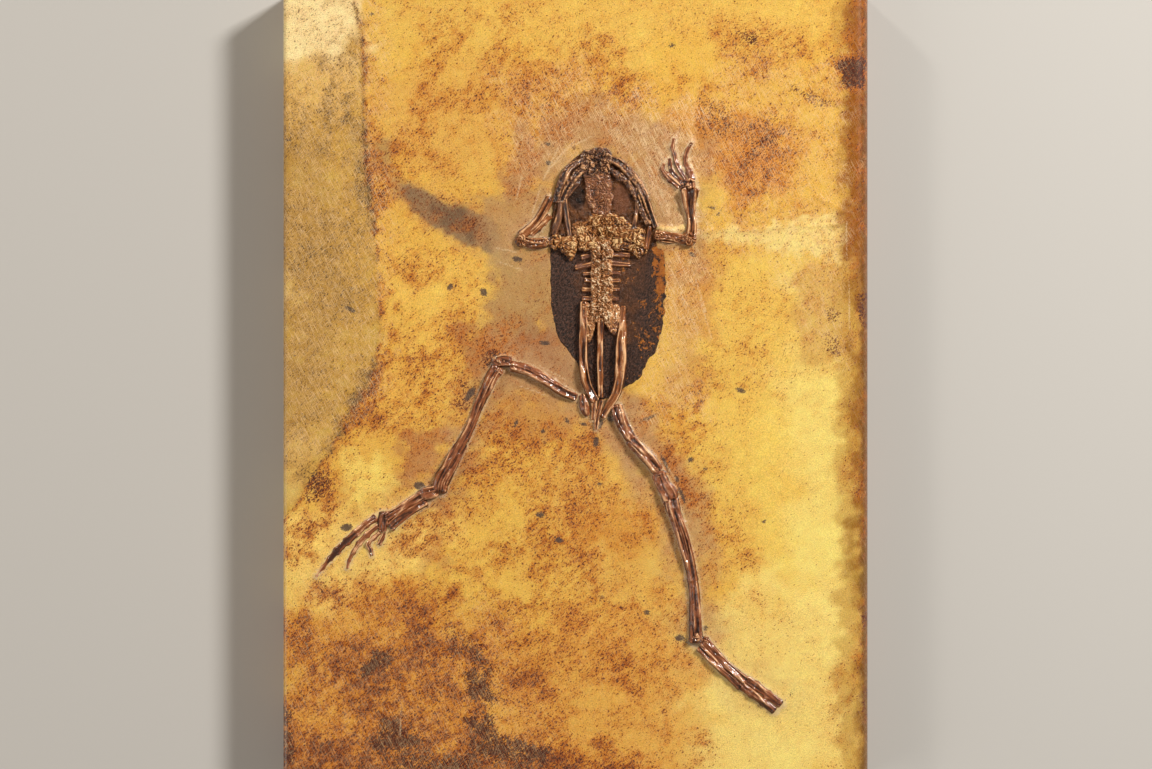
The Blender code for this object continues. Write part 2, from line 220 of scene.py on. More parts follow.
def dress(piece, material, slot, *nodes):
    """Give the piece its material, hang it on the root body and hide the CAD nodes that it stands for: slot
    is not used.
    """
    piece.data.materials.append(material)
    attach(piece, "root")
    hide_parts(*nodes)


# %% [markdown]
# ## Colours and nodes
#
# Colours are read from the photograph as sRGB hex values, and a shader works in linear light, so one
# function converts them. One more function adds a shader node, sets it up, links it and gives back the
# output that the next node needs.


# %% Colour and node helpers
def linear(hex_colour):
    """An sRGB hex colour as linear RGBA."""
    parts = np.array([int(hex_colour[i:i + 2], 16) / 255 for i in (1, 3, 5)])
    parts = np.where(parts <= 0.04045, parts / 12.92, ((parts + 0.055) / 1.055) ** 2.4)
    return np.array([*parts, 1.0])


def node(tree, kind, inputs=None, out=0, **settings):
    """Add a node, set its properties, fill each input with a value or a link, and return one output."""
    made = tree.nodes.new("ShaderNode" + kind)
    for key, value in settings.items():
        setattr(made, key, value)
    for key, value in (inputs or {}).items():
        if isinstance(value, bpy.types.NodeSocket):
            tree.links.new(value, made.inputs[key])
        else:
            made.inputs[key].default_value = value
    return made.outputs[out]


def start_material(name):
    """A material with a Principled BSDF, its tree, and a socket of Object coordinates in millimetres."""
    material = bpy.data.materials.new(name)
    material.use_nodes = True
    tree = material.node_tree
    shader = tree.nodes["Principled BSDF"]
    coords = node(tree, "TexCoord", out="Object")
    return material, tree, shader, node(tree, "VectorMath", {0: coords, "Scale": 1 / MM}, operation="SCALE")


print("amber in linear light:", linear("#dba848").round(3))

# %% [markdown]
# ## Where the bones lie
#
# Each long bone is a list of stations down its middle: u, v and the bone's width, in photo pixels. The same
# list shapes the bone and tells the slab where to rise to meet it.

# %% The limb bones
LIMB_BONES = {
    "humerus_left": ((524, 241, 8), (532, 243, 10), (540, 243, 10), (546, 242.5, 8)),
    "humerus_right": ((657, 236, 9), (666, 236, 9), (676, 237.5, 8.5), (684, 239.5, 9), (690, 241, 8)),
    "radioulna_left": (
        (522.5, 235, 9), (529, 229.5, 9), (536, 222.5, 8.5), (541.5, 214.5, 8.5),
        (546, 206, 8.5), (549.5, 199, 7.5),
    ),
    "radioulna_right": (
        (690.5, 235, 11), (691.5, 225, 9.5), (690.5, 214, 8.5), (689.7, 202, 13), (689.5, 190, 18),
    ),
    "femur_left": (
        (575, 397, 7), (562, 391, 9.5), (551, 383.5, 9.5), (540, 376.5, 10),
        (529, 371, 10), (520, 368, 10.5), (512.5, 366.5, 9),
    ),
    "knee_left": ((510, 362, 9), (504, 361.5, 11), (498, 362, 9)),
    "tibiofibula_left": (
        (497, 368, 12), (491, 379, 12), (485, 391, 11), (478, 408, 9), (470.5, 427, 9),
        (459, 449, 11.5), (448.5, 468, 14.5), (441.5, 482, 15), (440, 491, 12),
    ),
    "femur_head_left": ((582.5, 396, 5), (583.5, 403, 9), (585, 410, 8), (587, 414, 4)),
    "femur_right_upper": ((616.5, 406.5, 10), (619.5, 417, 12), (625, 429, 11), (630.5, 438.5, 9)),
    "femur_right_lower": ((630.5, 440, 10), (640, 449.5, 12), (650, 460, 12.5), (657, 470, 11)),
    "knee_right": ((658.5, 474, 12), (663.5, 484.5, 14), (668, 492.5, 16), (670, 498.5, 15)),
    "tibiofibula_right": (
        (671, 500.5, 14), (674.5, 512, 13), (681, 531, 11.5), (689, 560, 10.5), (694, 590, 10.5),
        (695, 611, 11.5), (695.8, 630, 13), (696, 641, 14),
    ),
    "tibiale_left": ((421, 495, 9), (407, 504.5, 8.5), (397, 511.5, 8.5), (387, 517, 10)),
    "fibulare_left": ((425, 502.5, 8.5), (411.5, 510.5, 8), (400.5, 518, 8.5), (391, 526, 10)),
    "ankle_left": ((436, 491, 9), (430, 493, 13), (423, 494.5, 11)),
    "midfoot_left": ((383.5, 513.5, 8), (383, 522, 10), (382.5, 530, 7)),
    "tibiale_right": ((704.5, 641, 10), (715.5, 652.5, 8), (727, 665.5, 8.5), (744.5, 680, 10)),
    "fibulare_right": ((700.5, 648, 8), (710.5, 658.5, 7.5), (722, 669.5, 8), (740, 685.5, 8.5)),
}
DIGIT_BONES = {
    "carpals_right": ((680, 187, 6), (684, 185, 9.5), (690, 184.5, 10), (694.5, 184, 7)),
    "finger_right_1": ((679, 187, 6), (671, 180, 6.5), (666, 174.5, 5.5), (662.5, 169, 4), (664, 163.5, 3.5)),
    "finger_right_2": ((681.5, 181, 4.5), (675, 175, 4.5), (671, 170, 4.5), (670, 164, 4), (669.5, 159, 3.5)),
    "finger_right_3": (
        (685.5, 179, 4.5), (680.5, 171, 5), (676.5, 163.5, 4.5),
        (674.5, 155, 4), (672.5, 147, 4), (674, 139, 3),
    ),
    "finger_right_4": (
        (692, 180, 7), (689, 171.5, 6.5), (686, 164.5, 4.5),
        (685.5, 157, 4.5), (687.5, 150, 4), (691.5, 143, 3.5),
    ),
    "toe_left_1": (
        (376, 517.5, 7.5), (366, 524.5, 7), (356, 533, 7.5), (347, 541.5, 7.5),
        (337, 551, 7), (330, 559, 5.5), (323.5, 567, 4), (316.5, 576.5, 3.2),
    ),
    "toe_left_2": (
        (378, 526, 5.5), (367, 535, 6), (359, 543.5, 5.5), (353.5, 552.5, 4.5),
        (349, 560.5, 4.2), (347.5, 568, 3.6),
    ),
    "toe_left_3": ((380, 532.5, 4.5), (374, 538, 5), (368.5, 544, 4.6), (370.5, 549.5, 4), (372, 555.5, 3.4)),
    "toe_left_4": ((385, 532, 4.5), (382, 539, 4.5), (379.5, 544.5, 4.5)),
    "metatarsal_right_1": ((746, 679, 8.5), (756, 685.5, 9), (768, 694.5, 8.5), (781, 704, 8.5)),
    "metatarsal_right_2": ((741.5, 686, 8), (752, 693.5, 8.5), (763, 701.5, 8.5), (774.5, 710.5, 8.5)),
    "ischium": ((601.5, 400.5, 5), (599.5, 409, 5), (597.8, 416, 4.5), (596.5, 423, 4.5), (596, 429, 3)),
    "pubis_left": ((594, 400.5, 7), (593.7, 408, 5.5), (593.3, 414, 4), (593, 419.5, 4)),
}
BRANCHES = {
    # second bars that belong to a bone of the same name
    "radioulna_left": ((531.5, 235, 4.5), (538, 229, 5.5), (544, 222.5, 5.5), (550, 216, 6)),
    "humerus_right": ((660, 240, 4), (668, 241.5, 4.5), (677, 241, 4)),
}
print("limb bones:", len(LIMB_BONES), "and small bones:", len(DIGIT_BONES))

# %% [markdown]
# The head, shoulders and pelvis lie on the skin film. Slender bones are lists of stations again, and flat
# ones are outlines.

# %% The bones on the film
TRUNK_BARS = {
    "mandible_left": ((583, 161, 5), (572, 166.5, 8), (564.5, 176, 8.5), (559.5, 188, 7.5), (556, 201, 6)),
    "maxilla_left": ((581, 170.5, 6), (573, 179.5, 8), (566.5, 190.5, 7), (561.5, 201, 6)),
    "pterygoid_left": ((581, 179.5, 3.5), (575, 186.5, 5), (569, 194, 4.5), (564, 200.5, 3.5)),
    "squamosal_left": ((560.5, 203, 4.5), (559.5, 212, 5.5), (557.5, 222, 6.5), (554, 233, 5)),
    "quadratojugal_left": ((564.5, 201, 4.5), (566, 212, 6), (567.5, 222, 5.5), (570, 235.5, 4.5)),
    "mandible_right": (
        (610, 159, 6), (621, 164.5, 8), (631.5, 175.5, 8.5), (640, 187.5, 8.5),
        (646, 200.5, 7.5), (650.5, 213, 6.5), (655, 226, 5),
    ),
    "maxilla_right": (
        (611, 169, 6), (619, 176, 8), (628, 182, 7.5), (634.5, 191, 7.5),
        (639.5, 203, 7), (643, 213, 6.5), (648, 223.5, 6),
    ),
    "squamosal_right": ((637, 202, 3.5), (636.5, 211, 4.5), (635, 219, 4.5), (633.5, 228, 4)),
    "scapula_right": ((649.5, 228.5, 3.5), (648, 238, 5), (646, 247.5, 5)),
    "urostyle": ((600.5, 322, 8), (600.3, 332, 6), (600, 350, 5.5), (600, 370, 5.5), (600.5, 395.5, 4.5)),
    "ilium_left": (
        (583.5, 303.5, 6), (583.5, 322, 8), (583.5, 340, 8.5), (583.7, 360, 8.5),
        (584.7, 375, 9), (588.3, 388, 8.5), (594.5, 400, 7.5),
    ),
    "ilium_right": (
        (623, 308, 5), (622.5, 325, 7), (621.2, 340, 9.5), (620.7, 360, 10.5),
        (619.7, 378, 10), (616.3, 393, 9), (610.5, 404, 7.5), (603, 416, 6),
    ),
}
TRUNK_PLATES = {
    "snout": (
        (583, 153), (592, 151), (602, 149.5), (609, 151), (611, 160), (609, 168), (607, 174),
        (597, 174), (591, 177), (584, 176), (582, 166),
    ),
    "frontoparietal": (
        (586, 178), (596, 174), (608, 174), (611, 184), (611, 200), (610, 212), (603, 216),
        (594, 212), (588.5, 202), (587, 190),
    ),
    "occiput": (
        (573, 224.5), (586, 221), (593, 215), (602, 216.5), (611, 214), (617, 216), (629, 224),
        (627, 235), (613, 239), (604, 241), (594, 249), (580, 249), (576, 237),
    ),
    "clavicle_left": ((546, 243), (550.5, 238), (557.5, 236), (560.5, 241), (559.5, 248), (552, 247)),
    "scapula_left": (
        (561.5, 238), (571, 237.5), (575.5, 241.5), (575.5, 250), (570.5, 261), (565, 253), (560.5, 247),
    ),
    "coracoid_right": (
        (626, 229), (641, 229.5), (644, 238), (644, 246), (646, 251.5), (637, 257),
        (631, 251), (615, 249.5), (613, 240.5), (627, 236.5),
    ),
}
BODY_FILM = (
    (596, 150.5), (614, 157), (630, 170), (643, 188.5), (651, 205), (656, 224), (657, 246),
    (664, 252), (665.5, 278), (663, 318), (658.5, 343), (648, 361), (637, 380), (626, 387),
    (613, 396), (603, 399.5), (594, 398), (584, 387), (577, 363), (558.5, 337), (551, 305),
    (550, 257), (549.5, 232), (553.5, 206), (554.5, 190), (561, 173), (570, 161.5), (583, 153.5),
)
print("bones on the film:", len(TRUNK_BARS) + len(TRUNK_PLATES))

# %% [markdown]
# ## The slab's surface
#
# The face of the slab was poured against shale, so it is almost flat, with faint waves, small pits and a
# few raised lines where the resin ran into cracks. It creeps up the sides of each bone. A flat CAD plate
# with a bump texture would do from far away, but its outline and the resin's fillets round the bones need
# real height. The whole slab is one profile, bottom, sides, round-over and face, carried along Y, and the
# face's columns get their height from the noise and the distances above.

# %% Slab profile and grid
RIGHT_EDGE_RADIUS = 3.0 * MM
LEFT_EDGE_RADIUS = 1.0 * MM
UNDER_EDGE_RADIUS = 0.6 * MM
END_EASE = 0.5 * MM
# the part of the face that the skeleton covers, in pixels, has the finer grid
DENSE_LEFT_U, DENSE_RIGHT_U = 470, 730
DENSE_TOP_V, DENSE_BOTTOM_V = 140, 590
FINE_X, COARSE_X = 0.41 * MM, 0.62 * MM
FINE_Y, COARSE_Y = 0.44 * MM, 0.66 * MM


def graded(low, high, dense_low, dense_high, fine, coarse):
    """Places from low to high, spaced fine between the dense limits and coarse outside them."""
    parts = [
        np.linspace(low, dense_low, max(2, round((dense_low - low) / coarse)), endpoint=False),
        np.linspace(dense_low, dense_high, round((dense_high - dense_low) / fine), endpoint=False),
        np.linspace(dense_high, high, max(2, round((high - dense_high) / coarse))),
    ]
    return np.concatenate(parts)


def corner_arc(centre_x, centre_z, radius, start, count):
    """A quarter circle, anticlockwise from the angle start."""
    angle = start + np.linspace(0, np.pi / 2, count)
    return np.column_stack((centre_x + radius * np.cos(angle), centre_z + radius * np.sin(angle)))


def slab_profile():
    """The slab's closed section, anticlockwise from its lower right, and which of its points are the face."""
    low, high = SLAB_LOW[0], SLAB_HIGH[0]
    under, right, left = UNDER_EDGE_RADIUS, RIGHT_EDGE_RADIUS, LEFT_EDGE_RADIUS
    dense_low, dense_high = spot(DENSE_LEFT_U, 0)[0], spot(DENSE_RIGHT_U, 0)[0]
    face_x = graded(low + left, high - right, dense_low, dense_high, FINE_X, COARSE_X)[::-1]
    face = np.column_stack((face_x, np.full(len(face_x), TOP)))
    parts = [
        corner_arc(high - under, under, under, -np.pi / 2, 3),
        corner_arc(high - right, TOP - right, right, 0, 9)[:-1],
        face,
        corner_arc(low + left, TOP - left, left, np.pi / 2, 5)[1:],
        corner_arc(low + under, under, under, np.pi, 3),
    ]
    is_face = np.concatenate([np.full(len(part), part is face) for part in parts])
    return np.vstack(parts), is_face


PROFILE, IS_FACE = slab_profile()
dense_top, dense_bottom = spot(0, DENSE_TOP_V)[1], spot(0, DENSE_BOTTOM_V)[1]
ALONG = graded(SLAB_LOW[1], SLAB_HIGH[1], dense_bottom, dense_top, FINE_Y, COARSE_Y)
print("slab grid:", len(ALONG), "rows of", len(PROFILE), "points")

# %% [markdown]
# Now the height of the face. Every bone adds a low fillet that fades over a millimetre, the film's bed sinks
# out of sight below it, and a handful of lines are raised, where resin ran into cracks of the shale. The
# resin also spilled over the upper edge of the right upper arm.

# %% Heights of the face
RAISED_LINES = (
    ((817, 196), (832, 205), (849, 215), (846, 222), (836, 226)),
    ((846, 222), (849, 245), (851, 272), (850, 304)),
    ((700, 233), (722, 229), (746, 231), (790, 226), (820, 226), (840, 224)),
    ((462, 566), (440, 574), (413, 590), (408, 615), (401, 649), (403, 690), (403, 730)),
    ((366, 66), (365, 120), (369, 175), (376, 240), (380, 318), (378, 352)),
)
ARM_SPILL = ((657, 227, 3), (664, 229, 6), (674, 230.5, 6), (683, 228, 7))


def all_stations():
    """Every list of stations in one list."""
    groups = (LIMB_BONES, DIGIT_BONES, TRUNK_BARS, BRANCHES)
    return [stations for group in groups for stations in group.values()]


def near_bones(x, y):
    """The distance of each point to the nearest bone's edge, in metres."""
    return np.minimum.reduce([line_distance(x, y, stations) for stations in all_stations()])


def face_height(x, y, bones, film):
    """Waves and pits, plus a fillet by the bones, less the film's bed, plus the raised lines."""
    # swells 14 mm across, with waves of 2 mm on them, and pits where a noise is near its highest
    height = 0.10 * MM * rough(x, y, 14 * MM, 11) + 0.035 * MM * rough(x, y, 2.2 * MM, 21)
    height -= 0.12 * MM * step(rough(x, y, 1.8 * MM, 31), 0.72, 1.0)
    # the fillet, a rougher face within 5 mm of a bone, and the film's bed
    height += 0.30 * MM * np.exp(-np.maximum(bones, 0) / (0.35 * MM)) * step(film, 0, 1.5 * MM)
    height += 0.10 * MM * step(-bones, -5 * MM, -1 * MM) * rough(x, y, 1.2 * MM, 41)
    height -= 0.45 * MM * step(-film, 0.1 * MM, 0.8 * MM)
    for number, line in enumerate(RAISED_LINES):
        away = line_distance(x, y, line) + 0.3 * MM * rough(x, y, 1.5 * MM, 51 + number)
        height += 0.16 * MM * np.exp(-(away / (0.35 * MM)) ** 2)
    spill = line_distance(x, y, ARM_SPILL)
    height += 0.55 * MM * step(-spill, -0.35 * MM, 0.5 * MM) * (1 + 0.3 * rough(x, y, 0.9 * MM, 61))
    return height


face_x, face_y = np.meshgrid(PROFILE[:, 0], ALONG)
BONES_AWAY = near_bones(face_x, face_y)
FILM_AWAY = outline_distance(face_x, face_y, BODY_FILM)
FACE_Z = face_height(face_x, face_y, BONES_AWAY, FILM_AWAY)
print(f"face relief: {FACE_Z.min() / MM:.2f} to {FACE_Z.max() / MM:.2f} mm")

# %% [markdown]
# ## The slab's colours
#
# The resin is clear yellow to amber. Behind and on it lie what is left of the shale: an olive field on the
# left, a brown cloud at the lower left, a grey-brown patch, and a taupe halo round the skeleton. The
# broad tones are laid on the mesh as a colour attribute, one soft-edged region after another, like washes
# on paper. Each region is an outline with a colour, a softness in pixels and a strength. The fine grain
# comes later, in the material.

# %% Washes of colour
# outlines that a wash shares with the marks further down
CLAY_FIELD = (
    (270, -40), (353, -40), (362, 30), (365, 70), (366, 165), (372, 220), (379, 257),
    (381, 318), (381, 343), (366, 384), (345, 425), (318, 470), (300, 500), (270, 522),
)
BROWN_CLOUD = ((270, 600), (330, 612), (400, 585), (450, 610), (500, 650), (520, 800), (270, 800))
ORANGE_SPOT = ((577, 505), (640, 508), (652, 540), (610, 560), (575, 545))
AMBER = "#d8a344"
WASHES = (
    # outline, colour, softness, strength
    (((360, -40), (869, -40), (869, 60), (700, 45), (520, 60), (380, 45)), "#daaa4e", 30, 0.8),
    (((380, 70), (560, 60), (600, 110), (540, 170), (430, 190), (370, 160)), "#d39c48", 28, 0.8),
    (((660, 100), (745, 112), (806, 150), (745, 215), (700, 150), (650, 130)), "#cd8a3a", 16, 0.85),
    (((384, 240), (480, 262), (535, 262), (500, 330), (470, 350), (430, 420), (372, 440), (384, 350)),
     "#dfac4c", 22, 0.9),
    (((430, 430), (600, 420), (650, 520), (640, 640), (560, 650), (430, 560)), "#dcaa4a", 30, 0.8),
    (((560, 410), (640, 430), (690, 560), (690, 650), (600, 640), (560, 500)), "#d5a04a", 24, 0.75),
    (((700, 250), (850, 250), (850, 640), (790, 690), (720, 560), (690, 420)), "#deb050", 30, 0.9),
    (((790, 280), (853, 270), (853, 640), (810, 650), (790, 480)), "#e3bf66", 22, 0.85),
    (((690, 600), (853, 580), (853, 800), (640, 800), (650, 700)), "#e4be68", 30, 0.95),
    (((796, 266), (852, 262), (852, 362), (800, 366)), "#c8974a", 8, 0.8),
    (((392, 500), (446, 500), (440, 566), (398, 566)), "#ba8044", 8, 0.75),
    (((283, 520), (430, 500), (440, 580), (330, 610), (283, 600)), "#ecc062", 22, 0.95),
    (((344, 458), (380, 452), (393, 480), (380, 505), (350, 507)), "#ebc763", 10, 0.8),
    (BROWN_CLOUD, "#d4963c", 26, 0.8),
    (((500, 640), (590, 610), (680, 650), (700, 800), (500, 800)), "#d59a44", 26, 0.85),
    (ORANGE_SPOT, "#c9842f", 16, 0.6),
    (((734, 137), (790, 140), (797, 190), (750, 200)), "#cf8634", 16, 0.6),
    (CLAY_FIELD, "#c09240", 5, 1.0),
    (((270, -40), (345, -40), (362, 20), (350, 58), (318, 62), (270, 80)), "#efd296", 14, 0.95),
    (((270, 110), (320, 150), (340, 260), (330, 380), (300, 450), (270, 470)), "#b28740", 16, 0.8),
    (((270, 260), (292, 265), (296, 300), (270, 325)), "#cfa65a", 8, 0.7),
    (((350, 130), (392, 150), (412, 190), (400, 200), (372, 180)), "#a9854f", 10, 0.8),
    (((392, 180), (424, 184), (456, 198), (490, 208), (510, 226), (508, 256), (488, 262), (460, 250),
      (434, 234), (408, 216)), "#b98c58", 4, 0.3),
    (((399, 186), (420, 189), (452, 204), (482, 214), (499, 228), (500, 247), (490, 254), (464, 243),
      (438, 228), (412, 211)), "#7f6148", 2.5, 0.9),
    (((432, 206), (462, 208), (496, 226), (498, 246), (466, 238), (440, 222)), "#5c4434", 4, 0.7),
    (((270, 66), (352, 58), (358, 112), (312, 126), (270, 122)), "#d8ab5e", 10, 0.85),
    (((270, 430), (322, 434), (316, 474), (290, 500), (270, 505)), "#cfa45a", 8, 0.7),
    (((404, 428), (446, 428), (440, 482), (398, 480)), "#ae6e3e", 8, 0.8),
    (((666, 262), (714, 262), (718, 342), (670, 342)), "#c78842", 8, 0.7),
    (((500, 398), (578, 402), (576, 442), (505, 442)), "#b4773f", 8, 0.7),
    (((700, 232), (740, 228), (790, 222), (815, 213), (850, 212), (853, 264), (800, 254), (760, 246),
      (705, 241)), "#e6c878", 5, 0.9),
    (((510, 318), (560, 335), (580, 365), (592, 398), (560, 386), (525, 366), (505, 352)),
     "#8f5e42", 10, 0.9),
    (((664, 240), (700, 250), (706, 300), (704, 380), (672, 400), (655, 370), (668, 320)),
     "#c78f48", 16, 0.8),
    (((495, 250), (564, 248), (570, 300), (570, 344), (500, 332), (487, 290)), "#a57a4e", 12, 0.85),
    (((540, 112), (600, 98), (662, 118), (700, 150), (690, 190), (668, 235), (654, 228), (642, 182),
      (612, 148), (570, 150), (548, 188), (508, 194), (520, 150)), "#a9754c", 12, 0.85),
    (((468, 192), (520, 185), (550, 196), (550, 262), (500, 264), (482, 236)), "#a97c50", 10, 0.8),
    (((455, 335), (560, 330), (590, 400), (520, 398), (470, 392)), "#a06c46", 12, 0.8),
    (((480, 388), (503, 384), (484, 450), (446, 512), (422, 500), (455, 440)), "#a8744e", 10, 0.7),
    (((588, 400), (640, 405), (670, 470), (652, 484), (606, 442)), "#b07a4c", 10, 0.75),
    (((660, 470), (684, 470), (716, 640), (686, 644)), "#b98048", 8, 0.5),
    (((524, 226), (556, 204), (556, 238), (528, 240)), "#8d754a", 2, 0.8),
    # the last five darken the face towards the right edge and over its round-over: painted shade where the
    # slab falls away
    (((838, -40), (880, -40), (880, 810), (838, 810)), "#b8873a", 7, 0.7),
    (((853, -40), (880, -40), (880, 570), (853, 570)), "#8a5410", 8, 0.9),
    (((856, 570), (880, 570), (880, 810), (856, 810)), "#8e5c18", 8, 0.85),
    (((846, -40), (880, -40), (880, 260), (846, 260)), "#8a4a06", 8, 0.85),
    (((861, -40), (880, -40), (880, 810), (861, 810)), "#5a3208", 3, 0.8),
)
SPILL_COLOUR = "#dcb872"
HALO_COLOUR = "#b3855a"
HALO_REACH = 34
HALO_REGIONS = (
    # outline, amount, softness: where the taupe halo is stronger
    (((500, 130), (700, 130), (710, 400), (720, 540), (660, 560), (600, 440), (500, 400), (480, 300)),
     0.5, 14),
    (((660, 540), (720, 540), (730, 640), (680, 660)), 0.25, 10),
)


def soft_region(x, y, outline, softness, seed):
    """1 inside a ragged outline and 0 outside: a soft step of the distance to it, moved by noise."""
    ragged = softness * PX * 1.5 * rough(x, y, max(1.6 * softness, 8) * PX, seed, layers=5)
    return step(-outline_distance(x, y, outline) + ragged, -softness * PX, softness * PX)


def amount(x, y, regions, seed):
    """The strongest of several soft-edged regions at each point."""
    best = np.zeros(np.shape(x))
    for number, (outline, strength, softness) in enumerate(regions):
        best = np.maximum(best, strength * soft_region(x, y, outline, softness, seed + 5 * number))
    return best


def lay_washes(x, y, bones):
    """Start from amber, blend towards each wash inside its soft region, then lay the halo and the spill."""
    tone = np.broadcast_to(linear(AMBER), (*np.shape(x), 4)).copy()
    for number, (outline, colour, softness, strength) in enumerate(WASHES):
        weight = strength * soft_region(x, y, outline, softness, 100 + 7 * number)
        tone += (linear(colour) - tone) * weight[..., None]
    ragged = 20 * PX * rough(x, y, 26 * PX, 301)
    halo = (0.22 + amount(x, y, HALO_REGIONS, 330)) * step(-bones + ragged, -HALO_REACH * PX, -2 * PX)
    tone += (linear(HALO_COLOUR) - tone) * halo[..., None]
    spill = step(-line_distance(x, y, ARM_SPILL), -0.3 * MM, 0.3 * MM)
    tone += (linear(SPILL_COLOUR) - tone) * spill[..., None]
    return np.clip(tone, 0, 1)


TONE = lay_washes(face_x, face_y, BONES_AWAY)
print("mean tone of the slab:", TONE.reshape(-1, 4).mean(axis=0).round(3))

# %% [markdown]
# Stains are different from washes. They are brown shale residue in grains of a few tenths of a millimetre,
# dense in some places and sparse in others. A second attribute says how dense, and the material breaks it
# into grains. Soot is where the grains are nearly black.

# %% Stains and soot
STAINS = (
    # outline, amount, softness
    (((380, 60), (560, 55), (620, 110), (540, 165), (430, 190), (372, 150)), 0.30, 30),
    (((690, 104), (745, 110), (810, 150), (745, 215), (706, 160)), 0.50, 16),
    (((734, 137), (797, 140), (797, 200), (740, 205)), 0.35, 14),
    (((384, 265), (450, 290), (500, 330), (470, 360), (430, 430), (390, 420)), 0.38, 24),
    (((430, 430), (600, 420), (650, 520), (640, 640), (560, 650), (440, 590)), 0.36, 26),
    (ORANGE_SPOT, 0.45, 14),
    (((640, 380), (720, 400), (760, 500), (740, 600), (700, 560), (670, 450)), 0.42, 22),
    (BROWN_CLOUD, 0.62, 26),
    (((270, 745), (420, 735), (560, 745), (640, 735), (660, 800), (270, 800)), 0.85, 14),
    (((500, 620), (590, 590), (680, 640), (700, 800), (500, 800)), 0.36, 26),
    (((305, 475), (345, 470), (330, 500), (310, 560), (283, 560), (283, 500)), 0.45, 12),
    (((345, 395), (385, 350), (395, 300), (388, 380), (350, 440), (318, 480)), 0.55, 8),
    (((700, 560), (790, 600), (760, 690), (700, 650)), 0.30, 22),
    (((310, 45), (345, 60), (344, 130), (320, 100)), 0.45, 10),
    (((362, 40), (372, 60), (376, 160), (366, 160)), 0.40, 6),
    (((835, 60), (866, 60), (866, 90), (840, 88)), 0.6, 8),
    (((700, 20), (800, 40), (850, 60), (760, 62), (700, 40)), 0.35, 14),
    # a faint stain along the right edge, part of its painted shade
    (((848, -40), (880, -40), (880, 810), (848, 810)), 0.05, 8),
    (((590, 30), (625, 30), (630, 60), (590, 60)), 0.2, 8),
    (((560, 505), (660, 505), (640, 560), (570, 560)), 0.35, 12),
    (((270, 80), (360, 80), (378, 300), (310, 480), (270, 490)), 0.18, 16),
    (((346, 120), (384, 130), (396, 200), (372, 230)), 0.45, 8),
    (((396, 504), (448, 504), (444, 568), (398, 568)), 0.40, 8),
    (((640, 600), (690, 600), (690, 700), (600, 700)), 0.25, 14),
)
CLEARS = (
    # places that hold less residue than those round them
    (((388, 280), (440, 288), (436, 350), (395, 362)), 0.30, 10),
    (((338, 440), (396, 440), (400, 490), (360, 506), (333, 482)), 0.10, 8),
    (((452, 492), (520, 494), (532, 540), (468, 552)), 0.35, 10),
    (((700, 430), (840, 390), (852, 600), (760, 610), (705, 560)), 0.40, 20),
    (((690, 600), (850, 580), (850, 800), (650, 800), (690, 700)), 0.34, 20),
    (((700, 170), (730, 165), (735, 215), (705, 215)), 0.20, 8),
    (((640, 30), (700, 40), (700, 75), (640, 70)), 0.15, 10),
    (((575, 690), (665, 690), (670, 765), (580, 765)), 0.34, 12),
    (((270, 470), (300, 480), (330, 500), (320, 520), (270, 524)), 0.40, 6),
    (((300, 690), (350, 690), (360, 740), (310, 740)), 0.20, 10),
    (((350, 588), (402, 588), (402, 642), (354, 642)), 0.30, 10),
    (((362, 30), (404, 30), (404, 78), (366, 78)), 0.30, 8),
    (((440, 36), (486, 36), (486, 84), (440, 84)), 0.30, 8),
    (((440, 116), (486, 116), (486, 164), (440, 164)), 0.30, 8),
    (((400, 560), (444, 560), (444, 600), (400, 600)), 0.34, 8),
    (((600, 516), (650, 516), (650, 604), (600, 604)), 0.36, 9),
    (((480, 560), (526, 560), (526, 600), (480, 600)), 0.30, 8),
    (((722, 500), (770, 500), (770, 564), (722, 564)), 0.25, 8),
    (((684, 516), (722, 516), (722, 560), (690, 560)), 0.22, 8),
    (((700, 386), (744, 386), (744, 440), (700, 440)), 0.15, 8),
    (((362, 76), (404, 76), (404, 124), (366, 124)), 0.30, 8),
)
SOOTS = (
    # outline, amount, softness
    (((354, 674), (372, 656), (392, 648), (388, 662), (366, 674)), 1.0, 4),
    (((464, 672), (486, 676), (500, 700), (482, 704), (468, 690)), 1.0, 5),
    (((466, 720), (492, 716), (508, 744), (488, 748)), 1.0, 5),
    (((372, 720), (400, 716), (420, 744), (404, 756), (376, 748)), 0.9, 6),
    (((470, 735), (508, 740), (548, 748), (545, 762), (500, 762), (475, 750)), 0.9, 5),
    (((400, 752), (470, 756), (480, 790), (380, 790)), 0.6, 6),
    (((283, 690), (290, 700), (290, 765), (283, 765)), 0.8, 4),
    (((444, 632), (452, 628), (480, 650), (496, 668), (488, 672), (462, 652)), 0.45, 5),
    (((836, 62), (866, 60), (866, 86), (842, 86)), 1.0, 5),
    (((738, 32), (760, 34), (758, 42), (742, 42)), 0.9, 3),
    (((790, 84), (812, 92), (832, 104), (826, 108), (800, 98)), 0.7, 4),
    (((700, 100), (760, 118), (800, 150), (770, 160), (720, 130)), 0.35, 12),
    (((826, 308), (842, 310), (840, 324), (826, 322)), 0.9, 3),
    (((828, 334), (840, 336), (838, 354), (828, 350)), 0.9, 3),
    (((858, 294), (869, 290), (869, 328), (858, 322)), 1.2, 2),
    (((860, 694), (869, 690), (869, 716), (860, 714)), 1.0, 3),
    (((862, 614), (869, 612), (869, 630), (862, 628)), 1.0, 3),
    (((484, 348), (498, 350), (494, 370), (486, 368)), 0.8, 3),
    (((460, 380), (480, 384), (470, 410), (458, 404)), 0.5, 5),
    (((400, 186), (440, 196), (496, 226), (498, 250), (466, 240), (420, 208)), 0.25, 4),
    (((310, 470), (330, 474), (320, 500), (304, 504)), 0.7, 5),
)
print("stains:", len(STAINS), "cleared places:", len(CLEARS), "soot marks:", len(SOOTS))

